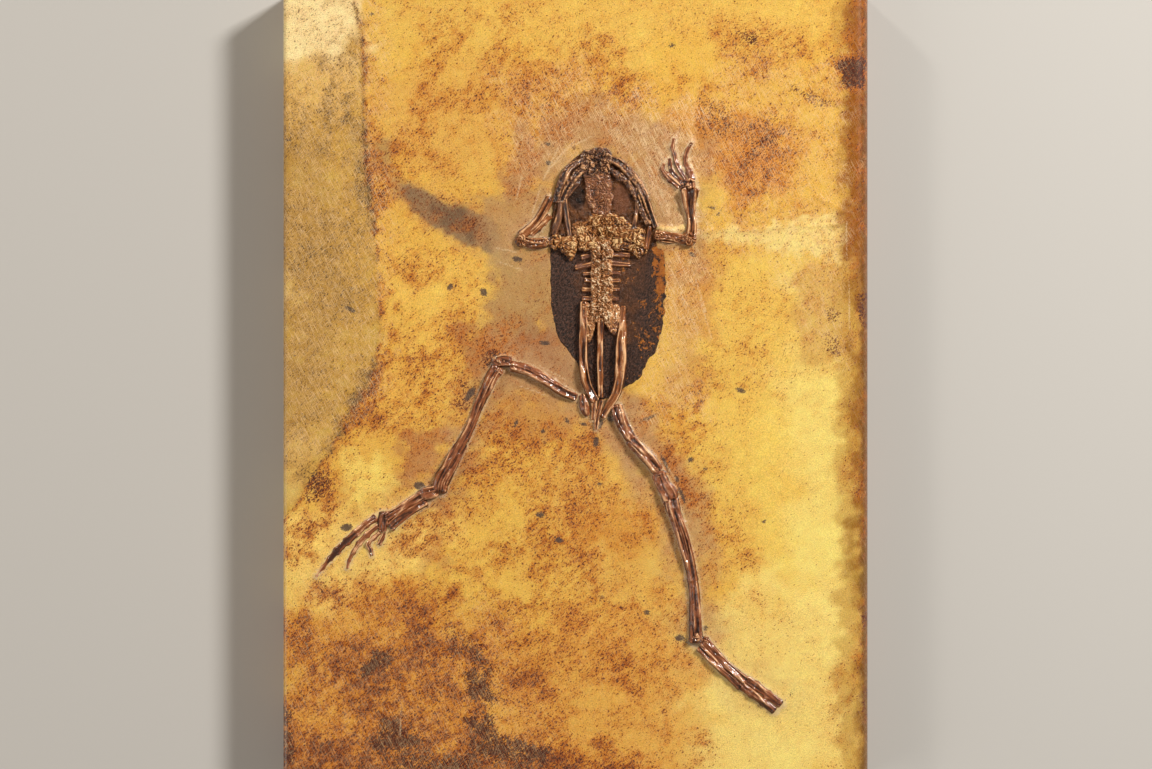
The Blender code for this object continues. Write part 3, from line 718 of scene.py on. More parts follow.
# %% [markdown]
# The cleaning tools left two kinds of pale scratch: fine ones in whole fields, which the material draws from
# noise, and single long scrapes, whose places are given. The olive field on the left is a skin of clay, and a
# dark broken seam runs down its edge.

# %% Scratches, scrapes, clay and seams
SCRATCHES = (
    # outline, amount, softness
    (((600, 90), (700, 100), (712, 230), (665, 232), (640, 170), (600, 140)), 1.0, 14),
    (((500, 90), (590, 80), (570, 170), (510, 190)), 0.6, 18),
    (((660, 250), (700, 250), (705, 420), (650, 420)), 0.7, 14),
    (((270, 600), (520, 600), (520, 800), (270, 800)), 0.22, 30),
    (((270, -40), (380, -40), (380, 380), (270, 480)), 0.5, 20),
    (((700, 60), (842, 60), (842, 360), (720, 230)), 0.45, 12),
)
SCRAPES = (
    # both ends of each
    ((622, 140), (642, 172)), ((630, 136), (655, 178)), ((640, 140), (668, 188)), ((650, 136), (673, 172)),
    ((628, 150), (650, 192)), ((646, 158), (663, 198)), ((652, 184), (665, 216)), ((661, 190), (671, 214)),
    ((636, 128), (650, 150)), ((656, 148), (677, 190)), ((616, 128), (632, 148)), ((664, 140), (676, 160)),
    ((667, 262), (683, 292)), ((666, 280), (678, 316)), ((680, 292), (698, 334)), ((672, 248), (689, 277)),
    ((690, 262), (706, 312)), ((700, 300), (712, 340)), ((566, 148), (547, 173)), ((558, 148), (543, 180)),
    ((576, 139), (556, 160)), ((592, 136), (570, 147)), ((540, 190), (532, 214)), ((522, 176), (516, 200)),
    ((500, 262), (522, 270)), ((496, 248), (516, 252)), ((846, 222), (850, 330)), ((402, 700), (400, 736)),
    ((497, 356), (480, 392)), ((470, 420), (455, 452)), ((672, 500), (676, 560)), ((683, 560), (688, 612)),
    ((540, 366), (566, 380)), ((520, 386), (548, 396)), ((634, 440), (648, 452)), ((664, 462), (676, 480)),
)
DARK_SEAMS = (
    ((353, -5), (361, 30), (364, 66), (364, 120), (367, 175), (374, 225), (380, 280), (381, 318), (380, 345)),
    ((380, 345), (366, 384), (345, 425), (318, 470), (300, 500), (285, 520)),
)
CLAYS = ((CLAY_FIELD, 1.0, 4),)
print("long scrapes:", len(SCRAPES))

# %% [markdown]
# A few large dark flakes of shale and skin lie about on the resin. An attribute holds the distance to the
# nearest one, so that the material can cut them out crisply.

# %% Flakes
FLAKES = (
    # middle, half length, half width, angle in degrees
    (346.5, 527.5, 6.0, 3.6, -8), (548.5, 163, 3.4, 2.0, 8), (548, 144, 4.5, 1.6, 20),
    (484, 292, 4.5, 3.0, 55),
    (450, 287, 3.2, 2.2, -50), (517, 259, 5, 2.6, 12), (741, 391, 4.5, 2.2, 20), (543, 431.5, 2.2, 2.2, 0),
    (516, 423, 1.8, 3.8, 15), (713, 208, 5.5, 1.2, 4), (718, 214, 2.6, 1.2, -40), (692, 254.5, 3, 1.6, 25),
    (583, 424, 3.6, 1.4, 12), (567, 421, 1.8, 3.2, -30), (545, 343, 5, 2.4, 5), (650, 417.5, 6, 1.2, -22),
    (647, 612.5, 3, 2, 10), (680, 638, 6, 3.2, 8), (692, 643, 7, 3.2, 20), (705, 628, 3, 2.2, 0),
    (792, 692, 3.6, 1.2, -60), (764, 521.5, 2.2, 1.3, -20), (672, 45, 4, 1.8, -15), (371, 14, 3.5, 1.8, 35),
    (289, 140, 2.4, 1.8, 0), (350, 309, 6, 2.2, 30), (540, 515, 4.6, 2.6, 10), (690, 460, 2.8, 2.2, -30),
    (705, 469, 1.8, 1.4, 0), (677, 479, 2, 3.4, -20), (596, 442, 2.6, 5, 10), (470, 394, 3, 8, 35),
    (559, 540, 3.6, 2.2, 0), (600, 484, 3, 1.6, 0), (420, 486, 6, 4.5, 20), (665, 463, 1.6, 9, -24),
    (682, 495, 1.8, 8, -24), (610, 419, 4, 3, 30), (600, 424, 3, 5, 20),
)


def amount_near(x, y, lines):
    """1 on any of the lines and fading over half a millimetre, in dashes set by noise."""
    best = np.zeros(np.shape(x))
    for number, line in enumerate(lines):
        away = line_distance(x, y, line) + 0.5 * MM * rough(x, y, 2 * MM, 710 + number)
        dashed = 0.55 + 0.45 * rough(x, y, 5 * MM, 740 + number)
        best = np.maximum(best, dashed * np.exp(-(away / (0.42 * MM)) ** 2))
    return best


def flake_distance(x, y):
    """How far outside the nearest flake each point is, in mm: the ellipse's scaled radius less one."""
    best = np.full(np.shape(x), 9.0)
    for u, v, half_length, half_width, angle in FLAKES:
        cx, cy = spot(u, v)
        turn = -np.radians(angle)
        along = (x - cx) * np.cos(turn) + (y - cy) * np.sin(turn)
        across = -(x - cx) * np.sin(turn) + (y - cy) * np.cos(turn)
        radius = np.sqrt((along / (half_length * PX)) ** 2 + (across / (half_width * PX)) ** 2)
        best = np.minimum(best, (radius - 1) * min(half_length, half_width) * PX / MM)
    return best


STAIN = 0.10 + amount(face_x, face_y, STAINS, 400) + 0.14 * rough(face_x, face_y, 9 * MM, 471)
SCRAPE = np.minimum.reduce([line_distance(face_x, face_y, line) for line in SCRAPES]) / MM
MARKS = {
    "stain": STAIN - amount(face_x, face_y, CLEARS, 450),
    "scratch": np.clip(amount(face_x, face_y, SCRATCHES, 500) + 0.15, 0, 1),
    "flake": flake_distance(face_x, face_y),
    "clay": np.clip(amount(face_x, face_y, CLAYS, 560), 0, 1),
    # distance to the nearest bone in millimetres, made large under the film, where no crust forms
    "gap": np.clip(BONES_AWAY / MM, -2, 5) + 5 * (1 - step(FILM_AWAY, -0.3 * MM, 0.3 * MM)),
    "seam": 0.9 * amount_near(face_x, face_y, DARK_SEAMS),
    "soot": np.clip(amount(face_x, face_y, SOOTS, 800), 0, 1),
    "scrape": np.minimum(SCRAPE, 5),
}
print(f"stained share of the slab: {np.mean(MARKS['stain'] > 0.3):.2f}")

# %% [markdown]
# The grid now becomes the slab. The columns that aren't on the face keep the profile's own height, and the
# relief fades out at the four edges so that the slab's box stays the CAD's. The last rows pull in by the
# ease of the end edges, and each end is filled by one face.


# %% Build the slab
def slab_points():
    """The profile carried along Y, raised by the face's relief, drawn in a little at both ends."""
    edge = np.minimum(face_x - SLAB_LOW[0] - LEFT_EDGE_RADIUS, SLAB_HIGH[0] - RIGHT_EDGE_RADIUS - face_x)
    ends = np.minimum(face_y - SLAB_LOW[1], SLAB_HIGH[1] - face_y)
    fade = step(edge, 0, 1.5 * MM) * step(ends, 0.6 * MM, 2 * MM) * IS_FACE[None, :]
    z = PROFILE[None, :, 1] + FACE_Z * fade
    pull = 1 - np.sqrt(np.clip(1 - (1 - np.clip(ends / END_EASE, 0, 1)) ** 2, 0, 1))
    middle = TOP / 2
    x = face_x * (1 - pull * END_EASE / (SLAB_HIGH[0] - SLAB_LOW[0]) * 2)
    z = middle + (z - middle) * (1 - pull * END_EASE / TOP * 2)
    return np.stack((x, face_y, z), axis=-1)


def build_slab(material):
    """One closed mesh with the tone as a colour attribute and each mark as a number."""
    points = slab_points()
    rows, columns = points.shape[:2]
    caps = (np.arange(columns)[::-1], np.arange((rows - 1) * columns, rows * columns))
    attributes = {"tone": TONE.reshape(-1, 4), **{key: value.ravel() for key, value in MARKS.items()}}
    faces = grid_faces(rows, columns, wrap=True)
    piece = mesh_piece("resin_slab", points.reshape(-1, 3), faces, attributes, caps, flip=True)
    dress(piece, material, "resin", "slab")
    return piece


# %% [markdown]
# ## The resin
#
# Polyester casting resin: a clear plastic, index 1.55, poured and then rubbed down to a satin face. Light
# goes a millimetre or two into it and comes back warmer, which is the glow of the yellow parts, so the
# shader has a little subsurface scattering. The stain attribute moves the threshold of grain noises of less
# than a millimetre, so a dense stain is a sheet of grains and a sparse one is a scatter. The marks are laid
# over that one after another: specks, flakes, scratches and scrapes, and a pale crust along the bones.


# %% Resin material
SPECK, FLAKE_DARK = "#6a3a26", "#4b3c37"
SCRATCH_PALE, SCRAPE_PALE, CRUST_PALE = "#ecca97", "#e9cfa6", "#d6bd9c"
CLEAR_GAIN = (1.12, 1.43, 1.60)
STAIN_COLOURS = (
    # colour on resin, on clay, the stain levels between which it grows, strength, how grainy
    ("#bd6a1a", "#9d773c", -0.05, 0.70, 0.86, 0.6),
    ("#86421c", "#815f32", 0.42, 0.98, 0.84, 1.3),
)
GRAIN_COLOURS = (
    # colour on resin, on clay, the level that the fine noise and the stain must pass together, strength
    ("#73301a", "#6d4f2b", 0.598, 0.84),
    ("#42211b", "#4e3a26", 0.658, 0.90),
)
SPECK_SIZES = (
    # cells per millimetre, share of cells without a speck, size and strength of a speck
    (0.33, 0.72, 0.22, 0.70),
    (1.3, 0.72, 0.34, 0.65),
)
STROKES = (
    # direction in radians, shift in millimetres, lower limit of the noise
    (0.68, 0.0, 0.60), (-0.22, 40.0, 0.63), (2.05, 90.0, 0.555), (1.35, 150.0, 0.615),
)


def resin():
    """Casting resin, amber, satin, with grains of shale, specks, scratches and flakes in its face."""
    material, tree, shader, mm = start_material("casting_resin")
    tone = node(tree, "Attribute", attribute_name="tone", out="Color")
    stain, scratch, flake, clay, gap, seam, soot, scrape = (
        node(tree, "Attribute", attribute_name=key, out="Fac") for key in MARKS)

    # Five noises: clouds of 8 mm, then blotches of 2 mm, grains of a third of a millimetre and pepper of half
    # a millimetre, which are drawn out a little towards the upper right, and sand of a fifth of a millimetre
    cloud = node(tree, "TexNoise", {
        "Vector": mm, "Scale": 0.13, "Detail": 5, "Roughness": 0.6, "Distortion": 0.5})
    combed = node(tree, "Mapping", {
        "Vector": mm, "Rotation": (0, 0, 0.62), "Scale": (2.8, 2.0, 1)}, vector_type="TEXTURE")
    blotch = node(tree, "TexNoise", {
        "Vector": combed, "Scale": 1.0, "Detail": 9, "Roughness": 0.74, "Distortion": 0.3})
    combed = node(tree, "Mapping", {
        "Vector": mm, "Rotation": (0, 0, 0.66), "Scale": (0.34, 0.24, 1)}, vector_type="TEXTURE")
    grain = node(tree, "TexNoise", {
        "Vector": combed, "Scale": 1.0, "Detail": 4, "Roughness": 0.68})
    combed = node(tree, "Mapping", {
        "Vector": mm, "Rotation": (0, 0, 0.8), "Scale": (0.50, 0.32, 1)}, vector_type="TEXTURE")
    pepper = node(tree, "TexNoise", {
        "Vector": combed, "Scale": 1.0, "Detail": 3, "Roughness": 0.6, "Distortion": 0.6})
    sand = node(tree, "TexNoise", {"Vector": mm, "Scale": 4.6, "Detail": 1, "Roughness": 0.6})

    # How stained each place is: the attribute, plus clouds, blotches that are stronger where there is more
    # residue, and the dark seam
    level = node(tree, "Math", {0: stain, 1: -0.76}, operation="ADD")
    gain = node(tree, "Math", {0: stain, 1: 1.5, 2: 1.7}, operation="MULTIPLY_ADD")
    centred = node(tree, "Math", {0: blotch, 1: 0.5}, operation="SUBTRACT")
    level = node(tree, "Math", {0: centred, 1: gain, 2: level}, operation="MULTIPLY_ADD")
    level = node(tree, "Math", {0: cloud, 1: 1.2, 2: level}, operation="MULTIPLY_ADD")
    level = node(tree, "Math", {0: seam, 1: 1.1, 2: level}, operation="MULTIPLY_ADD")

    # The clear resin is paler and yellower where it is least stained
    glow = node(tree, "MapRange", {
        "Value": level, "From Min": -0.85, "From Max": 0.12, "To Min": 1.0, "To Max": 0.0})
    pale = node(tree, "VectorMath", {0: tone, 1: CLEAR_GAIN}, operation="MULTIPLY")
    colour = node(tree, "Mix", {"Factor": glow, 6: tone, 7: pale}, data_type="RGBA", out=2)
    speckled = node(tree, "MapRange", {
        "Value": sand, "From Min": 0.3, "From Max": 0.7, "To Min": 0.80, "To Max": 1.20})
    colour = node(tree, "VectorMath", {0: colour, "Scale": speckled}, operation="SCALE")

    # Two depths of stain, the darker one broken more into grains by the fine noise
    for on_resin, on_clay, low, high, strength, broken in STAIN_COLOURS:
        grained = node(tree, "Math", {0: grain, 1: 0.5}, operation="SUBTRACT")
        grained = node(tree, "Math", {0: grained, 1: broken, 2: level}, operation="MULTIPLY_ADD")
        share = node(tree, "MapRange", {
            "Value": grained, "From Min": low, "From Max": high, "To Max": strength},
            interpolation_type="SMOOTHSTEP")
        brown = node(tree, "Mix", {
            "Factor": clay, 6: linear(on_resin), 7: linear(on_clay)}, data_type="RGBA", out=2)
        colour = node(tree, "Mix", {"Factor": share, 6: colour, 7: brown}, data_type="RGBA", out=2)

    # Single dark grains, where the pepper, the stain and the soot together pass a limit
    for on_resin, on_clay, limit, strength in GRAIN_COLOURS:
        passed = node(tree, "Math", {0: level, 1: 0.15, 2: pepper}, operation="MULTIPLY_ADD")
        passed = node(tree, "Math", {0: soot, 1: 0.16, 2: passed}, operation="MULTIPLY_ADD")
        share = node(tree, "MapRange", {
            "Value": passed, "From Min": limit, "From Max": limit + 0.018, "To Max": strength})
        brown = node(tree, "Mix", {
            "Factor": clay, 6: linear(on_resin), 7: linear(on_clay)}, data_type="RGBA", out=2)
        colour = node(tree, "Mix", {"Factor": share, 6: colour, 7: brown}, data_type="RGBA", out=2)

    # Dark specks: cells with bent walls, of which about one in four has a speck in its middle
    bent = node(tree, "TexNoise", {"Vector": mm, "Scale": 2.5, "Detail": 3}, out="Color")
    bent = node(tree, "VectorMath", {0: bent, "Scale": 0.8}, operation="SCALE")
    bent = node(tree, "VectorMath", {0: mm, 1: bent}, operation="ADD")
    for scale, share, size, strength in SPECK_SIZES:
        cells = node(tree, "TexVoronoi", {"Vector": bent, "Scale": scale}, out="Distance")
        chosen = node(tree, "MapRange", {
            "Value": cells.node.outputs["Color"], "From Min": share, "From Max": 1.0, "To Max": size})
        inside = node(tree, "Math", {0: chosen, 1: cells}, operation="SUBTRACT")
        speck = node(tree, "MapRange", {
            "Value": inside, "From Min": 0.0, "From Max": 0.05, "To Max": strength})
        colour = node(tree, "Mix", {"Factor": speck, 6: colour, 7: linear(SPECK)}, data_type="RGBA", out=2)

    # Large flakes, with an edge broken by the noises
    broken = node(tree, "Math", {0: blotch, 1: -1.0, 2: flake}, operation="MULTIPLY_ADD")
    broken = node(tree, "Math", {0: grain, 1: -1.4, 2: broken}, operation="MULTIPLY_ADD")
    mask = node(tree, "MapRange", {
        "Value": broken, "From Min": -1.12, "From Max": -1.24, "To Max": 0.92})
    colour = node(tree, "Mix", {"Factor": mask, 6: colour, 7: linear(FLAKE_DARK)}, data_type="RGBA", out=2)

    # Pale scratches: noise drawn out to three millimetres in four directions, kept only at its crests
    strokes = []
    for angle, shift, limit in STROKES:
        drawn = node(tree, "Mapping", {
            "Vector": mm, "Rotation": (0, 0, angle), "Location": (shift, 0, 0),
            "Scale": (3.2, 0.10, 1)}, vector_type="TEXTURE")
        streak = node(tree, "TexNoise", {
            "Vector": drawn, "Scale": 1.0, "Detail": 2, "Roughness": 0.5, "Distortion": 0.15})
        line = node(tree, "MapRange", {
            "Value": streak, "From Min": limit, "From Max": limit + 0.07, "To Max": 0.85})
        faint = node(tree, "Math", {0: line, 1: scratch}, operation="MULTIPLY")
        colour = node(tree, "Mix", {
            "Factor": faint, 6: colour, 7: linear(SCRATCH_PALE)}, data_type="RGBA", out=2)
        strokes.append(faint)

    # The long scrapes: a quarter of a millimetre wide, and broken by the grain
    line = node(tree, "Math", {0: grain, 1: -1.3, 2: scrape}, operation="MULTIPLY_ADD")
    line = node(tree, "MapRange", {
        "Value": line, "From Min": -0.42, "From Max": -0.56, "To Max": 0.42})
    colour = node(tree, "Mix", {"Factor": line, 6: colour, 7: linear(SCRAPE_PALE)}, data_type="RGBA", out=2)
    strokes.append(line)

    # A thin pale broken crust where the resin meets a bone
    crust = node(tree, "Math", {0: gap, 1: -0.30, 2: grain}, operation="MULTIPLY_ADD")
    crust = node(tree, "MapRange", {
        "Value": crust, "From Min": 0.37, "From Max": 0.46, "To Max": 0.55})
    colour = node(tree, "Mix", {"Factor": crust, 6: colour, 7: linear(CRUST_PALE)}, data_type="RGBA", out=2)

    # A bump of a few hundredths of a millimetre from the same noises, and a gloss that varies with them
    relief = node(tree, "Math", {0: blotch, 1: 1.2, 2: grain}, operation="MULTIPLY_ADD")
    for stroke in strokes:
        relief = node(tree, "Math", {0: stroke, 1: 0.5, 2: relief}, operation="MULTIPLY_ADD")
    bump = node(tree, "Bump", {"Height": relief, "Strength": 0.35, "Distance": 0.08 * MM})
    shine = node(tree, "MapRange", {"Value": blotch, "To Min": 0.16, "To Max": 0.34})
    tree.links.new(colour, shader.inputs["Base Color"])
    tree.links.new(bump, shader.inputs["Normal"])
    tree.links.new(shine, shader.inputs["Roughness"])
    shader.inputs["IOR"].default_value = 1.55
    shader.inputs["Subsurface Weight"].default_value = 0.10
    shader.inputs["Subsurface Radius"].default_value = (1.0, 0.55, 0.15)
    shader.inputs["Subsurface Scale"].default_value = 1.0 * MM
    return material


slab = build_slab(resin())
print("slab faces:", len(slab.data.polygons))

# %% [markdown]
# ## The skin film
#
# Where the frog's skin and flesh lay, a film of black carbon-rich matter a fraction of a millimetre thick is
# left, granular and dull. Its edge is sharp but ragged, and towards the right flank amber shows through.
# It is a disc-like sheet: rings from a point inside the body out to the outline, which is a smooth curve
# through the outline's corners with noise added. The last rings drop below the resin, so the edge is closed.


# %% Smooth curves through points
def smooth_through(values, count, closed=False):
    """A Catmull-Rom curve: cubic pieces whose slope at each point is half the step between its neighbours."""
    values = np.asarray(values, float)
    if closed:
        padded = np.vstack((values[-1:], values, values[:2]))
    else:
        padded = np.vstack((2 * values[:1] - values[1:2], values, 2 * values[-1:] - values[-2:-1]))
    spans = len(padded) - 3
    at = np.linspace(0, spans, count, endpoint=not closed)
    i = np.minimum(at.astype(int), spans - 1)
    t = (at - i)[:, None]
    p0, p1, p2, p3 = padded[i], padded[i + 1], padded[i + 2], padded[i + 3]
    return 0.5 * (2 * p1 + (p2 - p0) * t + (2 * p0 - 5 * p1 + 4 * p2 - p3) * t**2
                  + (3 * p1 - p0 - 3 * p2 + p3) * t**3)


FILM_CENTRE = spot(603, 285)
FILM_AROUND, FILM_RINGS = 560, 100
FILM_LIFT = 0.10 * MM
FILM_UNDER = 0.35 * MM
# where the neck is: the film is lumpier above it
NECK_LOW_V, NECK_HIGH_V = 236, 250
# the eye sockets, left then right: middle, half width and half height in pixels
SOCKETS = ((577, 197, 9.5, 14), (621.5, 199, 9.5, 16.5))
BREACHES = (
    # outline, amount, softness: where amber shows through
    (((653, 250), (668, 248), (668, 296), (656, 298), (652, 275)), 1.0, 3),
    (((640, 298), (666, 292), (664, 342), (648, 352), (630, 346)), 0.62, 7),
    (((640, 345), (656, 340), (642, 378), (624, 388)), 0.45, 5),
    (((549, 270), (556, 270), (560, 330), (566, 350), (558, 345), (548, 300)), 0.35, 3),
    (((612, 250), (640, 252), (640, 285), (612, 300)), 0.42, 6),
)
BROWNED = (
    # outline, amount, softness: where the film round the backbone is brown, as it is under the head
    (((608, 248), (644, 250), (641, 290), (632, 330), (620, 345), (610, 320)), 0.55, 7),
    (((574, 244), (597, 244), (595, 330), (584, 325), (578, 290)), 0.5, 7),
    (((560, 236), (650, 236), (648, 252), (562, 252)), 0.7, 6),
)
FILM_MARKS = ("breach", "brown", "shaded_left_socket", "right_socket")


def film_outline(count):
    """The outline as x and y, moved in and out by noise that is stronger on the lower right flank."""
    corners = np.column_stack(spot([p[0] for p in BODY_FILM], [p[1] for p in BODY_FILM]))
    loop = smooth_through(corners, count, closed=True)
    u, v = pixel(loop[:, 0], loop[:, 1])
    # from 0.5 to 1.8 as it passes from the rest of the edge to the lower right flank
    tattered = 0.5 + 1.3 * step(u, 625, 640) * step(v, 270, 300)
    out = loop - np.array(FILM_CENTRE)
    out /= np.linalg.norm(out, axis=1)[:, None]
    wobble = rough(loop[:, 0], loop[:, 1], 1.6 * MM, 601, layers=3)
    return loop + out * (wobble * tattered * PX * 1.4)[:, None]


def build_film(material):
    """Rings from the middle to the outline, lifted by grain, then closed underneath."""
    loop = film_outline(FILM_AROUND)
    # the rings crowd towards the edge, where the film drops
    share = np.sin(np.linspace(0.02, 1, FILM_RINGS) * np.pi / 2)
    centre = np.array(FILM_CENTRE)
    xy = centre + share[:, None, None] * (loop - centre)
    x, y = xy[..., 0], xy[..., 1]
    u, v = pixel(x, y)
    head = 1 - step(v + 5 * rough(x, y, 2 * MM, 605), NECK_LOW_V, NECK_HIGH_V)
    socket = [step(1 - np.hypot((u - cu) / ru, (v - cv) / rv), -0.05, 0.25) for cu, cv, ru, rv in SOCKETS]
    # grain of 0.6 mm on swells of 5 mm, lumps of 1 mm under the head, and the right socket's swelling
    lift = FILM_LIFT + 0.08 * MM * rough(x, y, 0.6 * MM, 611, layers=2) + 0.05 * MM * rough(x, y, 5 * MM, 621)
    lift += head * (1 - socket[0]) * (1 - socket[1]) * 0.30 * MM * (0.6 + rough(x, y, 1.1 * MM, 631))
    lift += 0.22 * MM * socket[1]
    # at the edge it meets the resin and sinks a little below it
    edge = np.linalg.norm(loop - centre, axis=1)[None, :] * (1 - share[:, None])
    z = TOP + lift * step(edge, -0.1 * MM, 0.35 * MM) - 0.12 * MM * (1 - step(edge, 0, 0.25 * MM))
    under = np.stack((loop[:, 0], loop[:, 1], np.full(FILM_AROUND, TOP - FILM_UNDER)), axis=-1)
    points = np.vstack((np.stack((x, y, z), axis=-1), under[None]))
    rows = FILM_RINGS + 1
    brown = np.maximum(head, amount(x, y, BROWNED, 660))
    marks = dict(zip(FILM_MARKS, (amount(x, y, BREACHES, 640), brown, *socket)))
    # the underside repeats the values of the edge
    values = {key: np.vstack((value, value[-1:])).ravel() for key, value in marks.items()}
    caps = (np.arange(FILM_AROUND)[::-1], np.arange((rows - 1) * FILM_AROUND, rows * FILM_AROUND))
    faces = grid_faces(rows, FILM_AROUND, wrap=True)
    piece = mesh_piece("skin_film_sheet", points.reshape(-1, 3), faces, values, caps)
    dress(piece, material, "skin_film", "body_film")
    return piece


# %% [markdown]
# Under the head the film is lumpy, brown and glossy, and round the backbone it is brown too. The left eye
# socket is flat but painted nearly black, as shade of a deep hollow, and the right one is a smooth brown
# swelling. The film's material mixes those tones by its attributes. Its grain is about half a millimetre,
# and drawn out a little towards the upper right.


# %% Film material
FILM_DARK, FILM_GRAIN = "#0b0605", "#6a4636"
FILM_AMBER_DEEP, FILM_AMBER_BRIGHT = "#9c4c14", "#cc7c24"


def skin_film():
    """Carbonised skin: black-brown grains, glossy brown under the skull, amber where it is worn through."""
    material, tree, shader, mm = start_material("carbonised_skin")
    breach, brown, shaded_left_socket, right_socket = (
        node(tree, "Attribute", attribute_name=key, out="Fac") for key in FILM_MARKS)
    combed = node(tree, "Mapping", {
        "Vector": mm, "Rotation": (0, 0, 0.9), "Scale": (0.60, 0.36, 1)}, vector_type="TEXTURE")
    grain = node(tree, "TexNoise", {
        "Vector": combed, "Scale": 1.0, "Detail": 5, "Roughness": 0.72})
    blotch = node(tree, "TexNoise", {
        "Vector": mm, "Scale": 0.7, "Detail": 6, "Roughness": 0.7, "Distortion": 0.6})
    lighter = node(tree, "MapRange", {"Value": grain, "From Min": 0.42, "From Max": 0.62})
    colour = node(tree, "Mix", {
        "Factor": lighter, 6: linear(FILM_DARK), 7: linear(FILM_GRAIN)}, data_type="RGBA", out=2)
    spread = node(tree, "MapRange", {"Value": blotch, "From Min": 0.35, "From Max": 0.65})
    for mask, dark, light in (
        (brown, "#3a2116", "#8e5a34"),
        # the left socket's near black is painted shade of a deep hollow
        (shaded_left_socket, "#17100d", "#54382a"),
        (right_socket, "#6f4530", "#8f5b3a"),
    ):
        mixed = node(tree, "Mix", {
            "Factor": spread, 6: linear(dark), 7: linear(light)}, data_type="RGBA", out=2)
        colour = node(tree, "Mix", {"Factor": mask, 6: colour, 7: mixed}, data_type="RGBA", out=2)
    # Amber shows where the breach, the blotches and the grain together pass a limit
    through = node(tree, "Math", {0: breach, 1: 0.30, 2: blotch}, operation="MULTIPLY_ADD")
    through = node(tree, "Math", {0: grain, 1: 0.25, 2: through}, operation="MULTIPLY_ADD")
    through = node(tree, "MapRange", {
        "Value": through, "From Min": 0.84, "From Max": 0.89, "To Max": 0.9})
    amber = node(tree, "Mix", {
        "Factor": spread, 6: linear(FILM_AMBER_DEEP), 7: linear(FILM_AMBER_BRIGHT)}, data_type="RGBA", out=2)
    colour = node(tree, "Mix", {"Factor": through, 6: colour, 7: amber}, data_type="RGBA", out=2)
    bump = node(tree, "Bump", {"Height": grain, "Strength": 1.0, "Distance": 0.9 * MM})
    shine = node(tree, "MapRange", {"Value": brown, "To Min": 0.36, "To Max": 0.22})
    tree.links.new(colour, shader.inputs["Base Color"])
    tree.links.new(bump, shader.inputs["Normal"])
    tree.links.new(shine, shader.inputs["Roughness"])
    shader.inputs["IOR"].default_value = 1.5
    return material


film = build_film(skin_film())
print("film faces:", len(film.data.polygons))

# %% [markdown]
# ## A long bone
#
# Seen close, a fossil limb bone isn't a smooth rod. Its wall has partly sunk in, so its two long edges stand
# up as ridges with a trough between, fine ridges run along it, cracks cross it, and its ends swell. The
# bone is an oval section carried along its stations. The upper half's height is multiplied by a profile of
# rims, trough and streaks, and the values that go into that height are kept as an attribute, so that the
# material can paint shade into the grooves, cracks and flanks and paint a highlight onto the ridges.

# %% Sweep a bone
SUNK = 0.45 * MM
ROW_STEP = 0.13 * MM
COLUMNS, FINGER_COLUMNS = 52, 36
# widths read from the photograph come out a little narrow, so each is multiplied
WIDER, FINGER_WIDER = 1.10, 1.05
# share of the rows that crowd towards the two ends
CROWDED = 0.35
# the value given to undersides and feet, drawn in the darkest colour: painted shade under the bone
UNDER_PAINTED_SHADE = -0.6


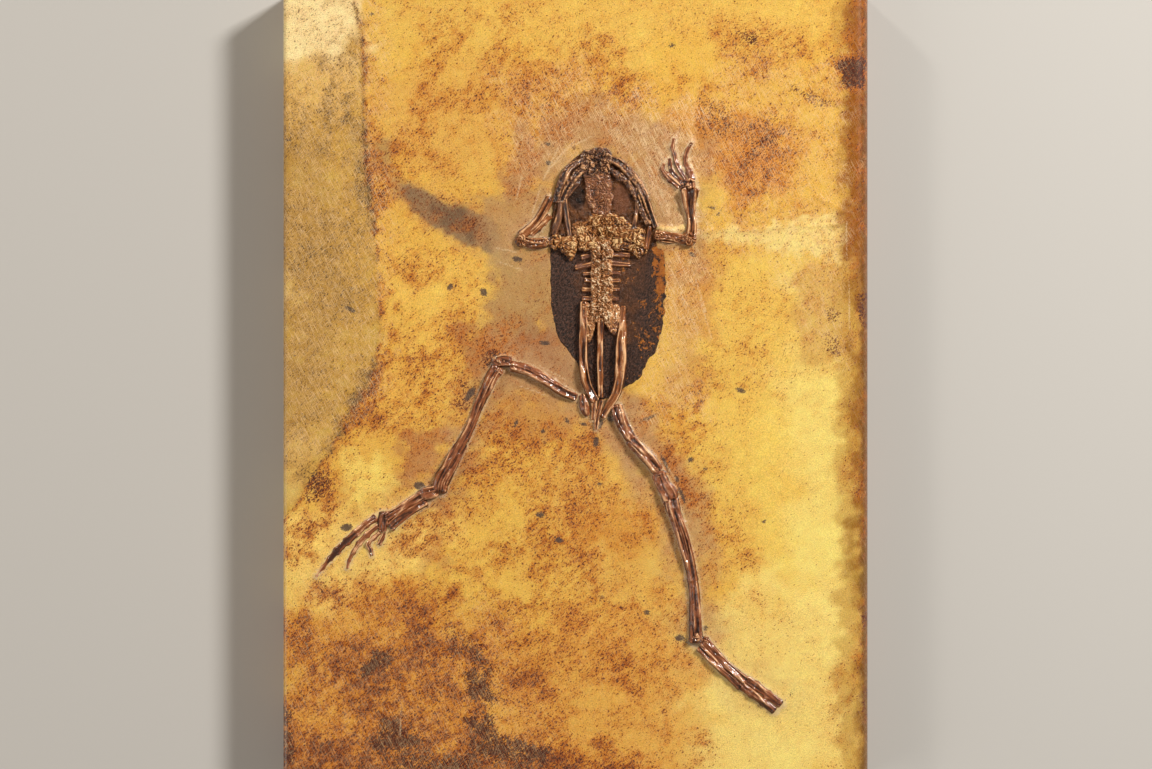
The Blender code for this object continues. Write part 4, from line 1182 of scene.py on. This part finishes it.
def sweep(stations, flatness, seed, base, stretch=1.8, trough=0.18, rim=0.18, streak=0.36, lumpy=0.24,
          rugged=0.15, wobble=1.0, crack=0.1, finger=False):
    """Points, relief and along-the-bone coordinates of one bone, as grids of rows along and columns around.

    Across the section the place is cos(a) and the height is sin(a), for an angle a once round. The upper
    height is multiplied by 1 + rims - trough + streaks + lumps - cracks, and both width and height close in
    at the ends. A streak is a sharp crest along the bone: the cube of one less the size of a stretched noise.
    """
    path = np.array([(*spot(u, v), w * PX) for u, v, w in stations])
    # each end reaches a little past its last station
    for end, inner in ((0, 1), (-1, -2)):
        way = path[end, :2] - path[inner, :2]
        path[end, :2] += way / np.linalg.norm(way) * stretch * PX
    path = smooth_through(path, 400)
    run = np.concatenate(([0], np.cumsum(np.hypot(*np.diff(path[:, :2], axis=0).T))))
    length = run[-1]
    rows = int(np.clip(length / ROW_STEP, 30, 260))
    columns = FINGER_COLUMNS if finger else COLUMNS
    crowding, even = np.cos(np.linspace(0, np.pi, rows)), np.linspace(1, -1, rows)
    s = length * (0.5 - 0.5 * crowding * CROWDED - 0.5 * (1 - CROWDED) * even)
    centre = np.column_stack([np.interp(s, run, path[:, k]) for k in (0, 1)])
    width = np.interp(s, run, path[:, 2])
    tangent = np.gradient(centre, axis=0)
    tangent /= np.linalg.norm(tangent, axis=1)[:, None]
    side = np.column_stack((tangent[:, 1], -tangent[:, 0]))

    # the width swells within a millimetre of the ends, and at the joints of a finger
    knob = np.exp(-(np.minimum(s, length - s) / (0.9 * MM)) ** 2)
    uneven = 0.03 * ripple(s, 0, 1.8 * MM, seed) + 0.03 * ripple(s, 0, 0.7 * MM, seed + 1)
    width = (FINGER_WIDER if finger else WIDER) * width * (1 + wobble * uneven)
    width = width * (1 + 0.14 * knob)
    if finger:
        joints = run[np.linspace(0, len(run) - 1, len(stations)).astype(int)][1:-1]
        width = width * (0.94 + 0.24 * np.exp(-((s[:, None] - joints) / (0.45 * MM)) ** 2).sum(axis=1))
    centre = centre + side * (0.02 * width * ripple(s, 0, 3 * MM, seed + 2))[:, None]

    # close is 1 along the bone and falls to 0 at each end, like the side of an egg
    reach = 0.30 * width.mean()
    end = np.clip(np.minimum(s, length - s) / reach, 0, 1)
    close = np.sqrt(np.clip(1 - (1 - end) ** 2.8, 0, 1))

    # the angle falls, so that the faces look outward
    angle = np.linspace(2 * np.pi, 0, columns, endpoint=False)[None, :]
    across = np.sign(np.cos(angle)) * np.abs(np.cos(angle)) ** 0.85
    up = np.sin(angle)
    along = s[:, None]
    away = across * width[:, None] / 2

    # streaks: noise drawn out twenty times and six times along the bone
    crest = (1 - np.abs(ripple(along / 20, away, 0.50 * MM, seed + 4))) ** 3
    lengthwise = 1.7 * crest - 0.62 + 0.35 * ripple(along / 6, away, 0.17 * MM, seed + 5)
    # the trough down the middle, deeper here and there and leaning to one side, between two rims
    sag = 0.6 + 0.5 * ripple(along, 0, 5 * MM, seed + 6)
    lean = 0.5 * ripple(along, 0, 6 * MM, seed + 7)
    edges = np.exp(-((np.abs(across - lean * 0.3) - 0.62) / 0.2) ** 2)
    middle = np.exp(-((across - lean) / 0.33) ** 2)
    # lumps: smooth ones along the shaft and pebbles near the ends, or more widely on a rugged bone
    stretched = ripple(along / 4, away, 0.5 * MM, seed + 8)
    pebbles = 2.4 * np.abs(ripple(along + away, away - along, 0.62 * MM, seed + 11)) - 0.9
    lumps = stretched + (pebbles - stretched) * np.maximum(knob, rugged)[:, None]
    # cracks cross the bone in slightly wavy lines
    wavy = along + 0.25 * MM * ripple(away, along, 0.5 * MM, seed + 9)
    snaps = step(ripple(wavy, 0, 0.45 * MM, seed + 10), 0.78, 0.92)
    height_and_shade = rim * edges - trough * sag * middle + streak * lengthwise + lumpy * lumps - 0.5 * crack * snaps
    half_height = flatness * width[:, None] / 2
    rise = np.where(up > 0, half_height * up * (1 + height_and_shade), up * SUNK)
    z = base + rise * np.where(up > 0, close[:, None], 1.0)
    away = away * (0.25 + 0.75 * close[:, None]) * (1 + 0.05 * lengthwise)
    x = centre[:, :1] + side[:, :1] * away
    y = centre[:, 1:] + side[:, 1:] * away
    points = np.stack((x, y, np.minimum(z, RELIEF_LIMIT)), axis=-1)
    # the flanks get a lower relief in the attribute alone, so that they are drawn darker: painted shade along
    # the bone's sides
    height_and_shade = height_and_shade - 0.35 * step(np.abs(across), 0.80, 1.0)
    ones = np.ones_like(x)
    guide = np.stack((along / MM * ones, away / MM, up * ones), axis=-1)
    return points, np.where(up > 0, height_and_shade, UNDER_PAINTED_SHADE), guide


def build_bone(name, shells, material, slot, *nodes):
    """One piece from one or more swept or domed shells, each closed at both ends."""
    points, faces, caps, relief, guide = [], [], [], [], []
    start = 0
    for shell_points, shell_relief, shell_guide in shells:
        rows, columns = shell_points.shape[:2]
        count = rows * columns
        points.append(shell_points.reshape(-1, 3))
        relief.append(shell_relief.ravel())
        guide.append(shell_guide.reshape(-1, 3))
        faces.append(grid_faces(rows, columns, wrap=True) + start)
        caps.append(np.arange(columns)[::-1] + start)
        caps.append(np.arange(count - columns, count) + start)
        start += count
    # the relief attribute carries the painted shade and painted highlight that the bone materials draw
    attributes = {"relief": np.concatenate(relief), "guide": np.vstack(guide)}
    piece = mesh_piece(name, np.vstack(points), np.vstack(faces), attributes, caps)
    dress(piece, material, slot, *nodes)
    return piece


# %% [markdown]
# Flat bones and swollen joint ends are domes: rings from the middle to a smooth outline, round at the rim,
# and covered in pebbles of two sizes. The size of a noise, without its sign, gives just that: round lumps
# with a sharp crease between them, along the line where the noise changes sign.


# %% Dome a plate
def dome(outline, height, seed, base, lump=0.3, lump_size=0.7, groove=0.0, ragged=0.6, grow=1.8):
    """Points, relief and guide of a domed plate: rings shrink to the middle, and noise lifts them.

    The height is base + height * rim * (0.8 + pebbles): rim climbs like a quarter circle over the first
    0.8 mm from the edge. The outline is moved out by grow pixels, and in and out by noise of ragged pixels.
    """
    corners = np.column_stack(spot([p[0] for p in outline], [p[1] for p in outline]))
    span = np.linalg.norm(np.ptp(corners, axis=0))
    around = int(np.clip(span / (0.05 * MM), 90, 260))
    rings = int(np.clip(span / (0.16 * MM), 22, 60))
    loop = smooth_through(corners, around, closed=True)
    # the outline has to run anticlockwise for the faces to look outward, so its signed area is checked
    following = np.roll(loop, -1, axis=0)
    if (loop[:, 0] * following[:, 1] - loop[:, 1] * following[:, 0]).sum() < 0:
        loop = loop[::-1]
    centre = corners.mean(axis=0)
    out = loop - centre
    out /= np.linalg.norm(out, axis=1)[:, None]
    uneven = rough(loop[:, 0], loop[:, 1], 0.9 * MM, seed, layers=3)
    loop = loop + out * (PX * (grow + ragged * uneven))[:, None]
    share = np.linspace(1, 0.02, rings)
    xy = centre + share[:, None, None] * (loop - centre)
    x, y = xy[..., 0], xy[..., 1]
    edge = np.linalg.norm(loop - centre, axis=1)[None, :] * (1 - share[:, None])
    edge = edge + 0.3 * MM * ripple(x, y, 1.4 * lump_size * MM, seed + 6)
    rim = np.sqrt(np.clip(1 - (1 - np.clip(edge / (0.8 * MM), 0, 1)) ** 2, 0, 1))
    # the pebbles' lattice is turned and bent, so that its squares don't show
    turn = 0.3 + seed % 7 * 0.2
    bend = 0.9 * lump_size * MM
    bent_x = x * np.cos(turn) - y * np.sin(turn) + bend * ripple(x, y, 1.5 * lump_size * MM, seed + 1)
    bent_y = x * np.sin(turn) + y * np.cos(turn) + bend * ripple(y, x, 1.5 * lump_size * MM, seed + 2)
    pebbles = np.abs(ripple(bent_x, bent_y, 0.9 * lump_size * MM, seed + 3))
    grit = np.abs(ripple(bent_y, bent_x, 0.4 * lump_size * MM, seed + 4))
    height_and_shade = lump * (2.4 * pebbles + 2.2 * grit - 1.3 + 0.9 * ripple(x, y, 2.4 * lump_size * MM, seed + 5))
    height_and_shade = height_and_shade - groove * np.exp(-(((x - centre[0]) / (0.35 * MM)) ** 2))
    z = base + height * rim * (0.8 + height_and_shade)
    foot = np.stack((loop[:, 0], loop[:, 1], np.full(around, base - SUNK)), axis=-1)
    points = np.vstack((foot[None], np.stack((x, y, np.minimum(z, RELIEF_LIMIT)), axis=-1)))
    # the relief is drawn lower towards the rim, which is painted shade at the plate's edge
    relief = np.vstack((np.full((1, around), UNDER_PAINTED_SHADE), height_and_shade - 0.3 * (1 - rim)))
    guide = np.stack((points[..., 0] / MM, points[..., 1] / MM, points[..., 2] / MM), axis=-1)
    return points, relief, guide


# %% [markdown]
# ## Fossil bone
#
# The bone is calcium phosphate, stained copper brown by the shale and sealed with clear lacquer. So the
# shader is a brown, slightly rough body under a clear coat. The colour follows the relief attribute: nearly
# black in the grooves and on the flanks, which is painted shade, copper on the sides, and pale gold on the
# ridges, which is a painted highlight. Streaks along the bone come from noise that is stretched along the
# guide attribute, and they are the bone's own tone. The same streaks drive a fine bump of a few hundredths
# of a millimetre, and a stronger one on the coat alone, which breaks its highlights into glints.


# %% Bone material
def fossil_bone(name, dark, body, light, streak_scale, pit_scale, pit_depth, sparkle):
    """Lacquered bone whose colour follows its relief, as painted shade in grooves and a painted highlight on
    ridges, with streaks along it, pits and glints.

    The scales are patterns per millimetre, pit_depth is the pits' share of the bump, and sparkle is the
    coat's bump in millimetres.
    """
    material, tree, shader, mm = start_material(name)
    relief = node(tree, "Attribute", attribute_name="relief", out="Fac")
    guide = node(tree, "Attribute", attribute_name="guide", out="Vector")
    stretched = node(tree, "Mapping", {"Vector": guide, "Scale": (0.45, streak_scale, 0.4)})
    streak = node(tree, "TexNoise", {
        "Vector": stretched, "Scale": 1.0, "Detail": 4, "Roughness": 0.6, "Distortion": 0.2})
    pits = node(tree, "TexNoise", {
        "Vector": mm, "Scale": pit_scale, "Detail": 4, "Roughness": 0.7})
    hue = node(tree, "TexNoise", {"Vector": mm, "Scale": 0.45, "Detail": 3})
    # The level is relief, streaks, pits and a slow drift of hue added up: dark below, body, then light. The
    # relief's share is painted shade and highlight; the rest is the bone's own tone
    level = node(tree, "Math", {0: relief, 1: 1.05}, operation="MULTIPLY")
    level = node(tree, "Math", {0: streak, 1: 0.9, 2: level}, operation="MULTIPLY_ADD")
    level = node(tree, "Math", {0: pits, 1: 0.5, 2: level}, operation="MULTIPLY_ADD")
    level = node(tree, "Math", {0: hue, 1: 0.35, 2: level}, operation="MULTIPLY_ADD")
    low = node(tree, "MapRange", {
        "Value": level, "From Min": 0.55, "From Max": 0.92}, interpolation_type="SMOOTHSTEP")
    high = node(tree, "MapRange", {
        "Value": level, "From Min": 1.02, "From Max": 1.42}, interpolation_type="SMOOTHSTEP")
    colour = node(tree, "Mix", {"Factor": low, 6: linear(dark), 7: linear(body)}, data_type="RGBA", out=2)
    colour = node(tree, "Mix", {"Factor": high, 6: colour, 7: linear(light)}, data_type="RGBA", out=2)
    fine = node(tree, "Math", {0: pits, 1: pit_depth, 2: streak}, operation="MULTIPLY_ADD")
    bump = node(tree, "Bump", {"Height": fine, "Strength": 0.55, "Distance": 0.12 * MM})
    glints = node(tree, "Bump", {"Height": fine, "Strength": 0.7, "Distance": sparkle * MM})
    tree.links.new(colour, shader.inputs["Base Color"])
    tree.links.new(bump, shader.inputs["Normal"])
    tree.links.new(glints, shader.inputs["Coat Normal"])
    shader.inputs["Roughness"].default_value = 0.42
    shader.inputs["IOR"].default_value = 1.55
    shader.inputs["Specular IOR Level"].default_value = 0.25
    shader.inputs["Coat Weight"].default_value = 1.0
    shader.inputs["Coat Roughness"].default_value = 0.07
    shader.inputs["Coat IOR"].default_value = 1.6
    return material


# name, colours of grooves (painted shade), body and ridges (painted highlight), streak scale, pit scale, pit
# depth, sparkle
LEG_FINISH = fossil_bone("lacquered_leg_bone", "#3e1c0f", "#8a4c28", "#e2ad80", 5.0, 5.0, 0.4, 0.07)
ARM_FINISH = fossil_bone("lacquered_arm_bone", "#45200f", "#8f5123", "#e8b686", 5.0, 5.0, 0.4, 0.07)
HEAD_FINISH = fossil_bone("lacquered_skull_bone", "#301910", "#6c4127", "#cc9768", 4.0, 4.0, 1.2, 0.11)
ROOF_FINISH = fossil_bone("lacquered_skull_roof", "#46250f", "#8c5229", "#c89466", 4.0, 4.0, 1.2, 0.11)
BACK_FINISH = fossil_bone("lacquered_occipital_bone", "#54290f", "#ab6b2e", "#f2c88e", 3.0, 3.4, 1.6, 0.12)
SPINE_FINISH = fossil_bone("lacquered_spine_bone", "#704026", "#c98a52", "#ffe4bc", 3.0, 3.4, 2.0, 0.14)
CHIP_FINISH = fossil_bone("lacquered_shoulder_bone", "#4c2811", "#a4682f", "#e8bd84", 3.0, 3.4, 1.6, 0.12)

# %% [markdown]
# The limb bones and digits sit a little into the resin, and the trunk's bars ride higher because they lie
# on the film. The bones differ in how far they have caved in, so each sweep gets its own seed, and some get
# deeper troughs or more lumps. Where a joint end swells out of the bone, it gets a dome of its own.


# %% Build the long bones
LIMB_BASE = TOP + 0.10 * MM
TRUNK_BASE = TOP + 0.30 * MM
# bones with the arms' golden finish, by the start of their names
GOLDEN_NAMES = ("humerus", "radioulna", "ilium", "urostyle", "scapula", "pubis", "ischium")
BONE_LOOKS = {
    # what differs from the sweep's defaults, by the start of the bone's name
    "radioulna_right": {"trough": 0.36, "rim": 0.28},
    "humerus": {"rugged": 0.5, "lumpy": 0.36},
    "tibiofibula": {"trough": 0.28, "rim": 0.24},
    "ilium": {"trough": 0.26, "rim": 0.24},
    "urostyle": {"trough": 0.18},
    "femur": {"trough": 0.12, "rugged": 0.3},
    "carpals": {"rugged": 1.0, "wobble": 4.0, "lumpy": 0.6},
    "mandible": {"rugged": 0.55, "wobble": 2.8, "lumpy": 0.40, "trough": 0.24, "rim": 0.34},
    "maxilla": {"rugged": 0.7, "wobble": 3.2, "lumpy": 0.45, "trough": 0.20, "rim": 0.28},
    "pterygoid": {"rugged": 0.6, "wobble": 2.6, "lumpy": 0.40},
}
KNOBS = {
    # joint ends that swell out of the bone: middle, half width and half height in pixels, height in mm
    "humerus_left": ((521.5, 240.5, 6.6, 6.4, 1.05), (545, 241.5, 5.2, 5.0, 0.95)),
    "humerus_right": ((689, 239, 7.4, 7.6, 1.15), (659, 235, 5.0, 5.4, 0.9)),
    "femur_left": ((514, 366, 5.4, 5.4, 0.95),),
    "knee_left": ((498.5, 362.5, 6.2, 5.6, 0.95),),
    "tibiofibula_left": ((441, 487, 7.4, 7.0, 0.95), (497, 371, 6.8, 6.0, 0.9)),
    "knee_right": ((668, 494, 7.6, 5.6, 1.0), (658.5, 475, 6.6, 5.0, 0.9)),
    "tibiofibula_right": ((672.5, 504, 7.2, 5.4, 0.95), (696.5, 638, 6.8, 5.0, 0.95)),
    "femur_right_lower": ((655, 468.5, 5.8, 5.0, 0.9),),
    "tibiale_left": ((388, 515, 4.6, 4.6, 0.8),),
    "ankle_left": ((431, 492.5, 6.6, 5.6, 0.9),),
    "tibiale_right": ((704, 641, 5.4, 5.0, 0.9), (744.5, 682, 5.4, 5.0, 0.85)),
}


def knob_shells(name, base):
    """A small dome on a wavy oval outline for each of the bone's knobs."""
    turn = np.linspace(0, 2 * np.pi, 10, endpoint=False)
    made = []
    for number, (u, v, half_width, half_height, height) in enumerate(KNOBS.get(name, ())):
        outline = np.column_stack((u + half_width * np.cos(turn), v - half_height * np.sin(turn)))
        seed = 5000 + 31 * len(name) + 7 * number + int(u)
        made.append(dome(outline, height * MM, seed, base, 0.22, 0.7, ragged=0.7, grow=0))
    return made


def build_bars():
    """Every list of stations becomes a swept bone that stands for the CAD node of the same name."""
    seed = 1000
    made = []
    groups = (
        # bones, base, height as a share of width, slot, whether they are digits
        (LIMB_BONES, LIMB_BASE, 0.78, "limb_bone", False),
        (DIGIT_BONES, LIMB_BASE, 0.75, "limb_bone", True),
        (TRUNK_BARS, TRUNK_BASE, 0.85, "skull_bone", False),
    )
    for bones, base, flatness, slot, finger in groups:
        for name, stations in bones.items():
            seed += 20
            golden = name.startswith(GOLDEN_NAMES)
            finish = ARM_FINISH if golden else LEG_FINISH if slot == "limb_bone" else HEAD_FINISH
            looks = next((look for start, look in BONE_LOOKS.items() if name.startswith(start)), {})
            shell = sweep(stations, flatness, seed, base, 1.0 if finger else 2.4, finger=finger, **looks)
            shells = [shell, *knob_shells(name, base)]
            if name in BRANCHES:
                shells.append(sweep(BRANCHES[name], flatness, seed + 7, base, 1.0, finger=True))
            made.append(build_bone(name + "_bone", shells, finish, "limb_bone" if golden else slot, name))
    return made


bars = build_bars()
print("swept bones:", len(bars))

# %% [markdown]
# ## Flat bones and the backbone
#
# The skull roof, the crushed back of the head and the shoulder bones are domed plates. The vertebrae are
# small domes with a groove down the middle, and most carry short bars, their transverse processes.

# %% Build the plates
PLATE_LOOKS = {
    # height in mm, lump share, lump size in mm, finish, slot
    "snout": (0.80, 0.32, 0.65, HEAD_FINISH, "skull_bone"),
    "frontoparietal": (0.62, 0.22, 0.50, ROOF_FINISH, "skull_bone"),
    "occiput": (0.90, 0.28, 0.48, BACK_FINISH, "spine_bone"),
    "clavicle_left": (0.85, 0.30, 0.80, CHIP_FINISH, "limb_bone"),
    "scapula_left": (0.85, 0.30, 0.85, CHIP_FINISH, "limb_bone"),
    "coracoid_right": (0.80, 0.34, 0.75, CHIP_FINISH, "limb_bone"),
}
for number, (name, (height, lump, lump_size, finish, slot)) in enumerate(PLATE_LOOKS.items()):
    seed = 2000 + 20 * number
    shell = dome(TRUNK_PLATES[name], height * MM, seed, TRUNK_BASE, lump, lump_size, ragged=1.5, grow=1.3)
    build_bone(name + "_bone", [shell], finish, slot, name)
print("plates:", len(PLATE_LOOKS))

# %% [markdown]
# A frog has eight vertebrae in front of the sacrum, whose two wings reach back along the hip bones. The
# second and third carry the longest processes. All are of one granular, pale golden bone.


# %% The backbone
COLUMN_LEFT_U, COLUMN_RIGHT_U = 592.5, 611
PROCESS_ROOT_LEFT_U, PROCESS_ROOT_RIGHT_U = 596, 608
VERTEBRA_HALF_PX = 4.5
VERTEBRAE = (
    # middle, then the tips of the left and right processes with their widths
    (245.3, None, None),
    (254.4, (582.5, 257.5, 5), (628.5, 255, 7)),
    (263.4, (576.5, 267.5, 6), (628.5, 265, 6)),
    (272.3, (584.5, 274, 4.5), (619, 273, 4.5)),
    (281.1, (586, 280, 4.5), (618.5, 280.5, 4.5)),
    (289.8, (583.5, 290, 4.5), (618, 289.5, 4)),
    (298.4, (583.5, 298.5, 4.5), (617, 299, 4)),
    (306.8, None, None),
)
SACRUM_BODY = ((593.5, 309), (610.5, 309), (609, 321.5), (595, 321.5))
SACRUM_WING_LEFT = (
    (582, 304), (588, 303.5), (593, 310), (596, 318), (594, 330), (589, 341), (585, 330), (583, 316),
)
SACRUM_WING_RIGHT = ((606, 310), (612, 306), (619, 306), (620, 324), (615, 334), (606.5, 324))


def build_backbone():
    """A lumpy grooved dome for each vertebra, with a swept bar for each process."""
    low_base = TRUNK_BASE - 0.1 * MM
    for number, (v, left, right) in enumerate(VERTEBRAE, start=1):
        half = VERTEBRA_HALF_PX
        outline = (
            (COLUMN_LEFT_U, v - half), (600, v - half - 0.5), (COLUMN_RIGHT_U, v - half),
            # The resin is clear yellow to amber. Behind and on it lie what is left of the shale: an olive
            # field on the left, a brown cloud at the lower left, a grey-brown patch, and a taupe halo round
            # the skeleton. The broad tones are laid on the mesh as a colour attribute, one soft-edged region
            # after another, like washes on paper. Each region is an outline with a colour, a softness in
            # pixels and a strength. The fine grain comes later, in the material. The darkest washes, along
            # the right edge, are painted shade where the slab rounds over and falls away.
            (COLUMN_RIGHT_U + 1, v), (COLUMN_RIGHT_U, v + half), (602, v + half + 0.5),
            (COLUMN_LEFT_U, v + half), (COLUMN_LEFT_U - 1, v),
        )
        seed = 3000 + 40 * number
        shells = [dome(outline, 1.0 * MM, seed, TRUNK_BASE, 0.27, 0.38, 0.15, ragged=1.0, grow=0.7)]
        for tip, root_u in ((left, PROCESS_ROOT_LEFT_U), (right, PROCESS_ROOT_RIGHT_U)) if left else ():
            stations = ((tip[0], tip[1], 0.9 * tip[2]), (root_u, v, tip[2]))
            bar, relief, guide = sweep(stations, 0.5, seed + root_u, low_base, wobble=4, finger=True)
            # a lower relief makes the processes darker than the vertebra
            shells.append((bar, relief - 0.30, guide))
        build_bone(f"vertebra_{number}_bone", shells, SPINE_FINISH, "spine_bone", f"vertebra_{number}")
    shells = [
        dome(SACRUM_BODY, 1.0 * MM, 3501, TRUNK_BASE, 0.27, 0.38, 0.15, ragged=1.0, grow=1),
        dome(SACRUM_WING_LEFT, 0.55 * MM, 3521, TRUNK_BASE, 0.24, 0.45, ragged=0.8, grow=1),
        dome(SACRUM_WING_RIGHT, 0.55 * MM, 3541, TRUNK_BASE, 0.24, 0.45, ragged=0.8, grow=1),
    ]
    build_bone("sacrum_bone", shells, SPINE_FINISH, "spine_bone", "sacrum")


build_backbone()
print("vertebrae:", len(VERTEBRAE))

# %% [markdown]
# ## The table
#
# The slab lies on a plain table of pale painted board. It is matte, so that it draws no eye.


# %% Table
TABLE_HALF = 3.0


def build_table():
    """A plain square well under the slab."""
    corners = [(x * TABLE_HALF, y * TABLE_HALF, 0) for x, y in ((-1, -1), (1, -1), (1, 1), (-1, 1))]
    table = mesh_piece("table", corners, np.array([[0, 1, 2, 3]]))
    material, tree, shader, mm = start_material("matte_board")
    shader.inputs["Base Color"].default_value = linear("#bdbcba")
    shader.inputs["Roughness"].default_value = 0.8
    table.data.materials.append(material)


build_table()
print("table:", 2 * TABLE_HALF, "m square")

# %% [markdown]
# ## Light
#
# The light in the photograph comes from the upper right: bones have bright edges there and dark ones at the
# lower left. A soft key lamp does that, a small one from the upper left adds glints, and a wide weak one from
# the left fills the shadows. None is overhead, because a glossy face would mirror it into the camera.

# %% Lamps
TARGET = np.array([0, 0, TOP])


def lamp(name, place, size, watts, tint):
    """A square area lamp at a place, turned to face the middle of the slab."""
    data = bpy.data.lights.new(name, "AREA")
    data.size = size
    data.energy = watts
    data.color = linear(tint)[:3]
    made = bpy.data.objects.new(name, data)
    made.location = place
    way = made.location - type(made.location)(TARGET)
    made.rotation_euler = way.to_track_quat("Z", "Y").to_euler()
    bpy.context.scene.collection.objects.link(made)


# name, place in metres, size in metres, watts, tint
lamp("key", (0.66, 0.54, 0.58), 0.17, 13.4, "#fffaf2")
lamp("kicker", (-0.62, 0.72, 0.46), 0.11, 2.6, "#fff6ea")
lamp("fill", (-1.0, -0.3, 0.6), 0.7, 3.5, "#fff6ee")
world = bpy.data.worlds.new("studio")
world.use_nodes = True
world.node_tree.nodes["Background"].inputs["Color"].default_value = linear("#f0e2ce")
world.node_tree.nodes["Background"].inputs["Strength"].default_value = 0.26
bpy.context.scene.world = world
bpy.context.scene.view_settings.view_transform = "Standard"

# %% [markdown]
# ## Camera
#
# The photograph is taken from straight above with a long lens, since the bones at its corners show no side.
# The camera stands at the height from which the lens sees just the width of the photograph.

# %% Camera
PHOTO_WIDTH_PX = 1152
LENS_MM, SENSOR_MM = 85.0, 36.0
camera_data = bpy.data.cameras.new("camera")
camera_data.lens = LENS_MM
camera_data.sensor_width = SENSOR_MM
camera_data.clip_start = 0.01
camera = bpy.data.objects.new("camera", camera_data)
camera.location = (0, 0, TOP + PHOTO_WIDTH_PX * PX * LENS_MM / SENSOR_MM)
bpy.context.scene.collection.objects.link(camera)
bpy.context.scene.camera = camera
print(f"camera {camera.location.z * 1000:.0f} mm above the table")
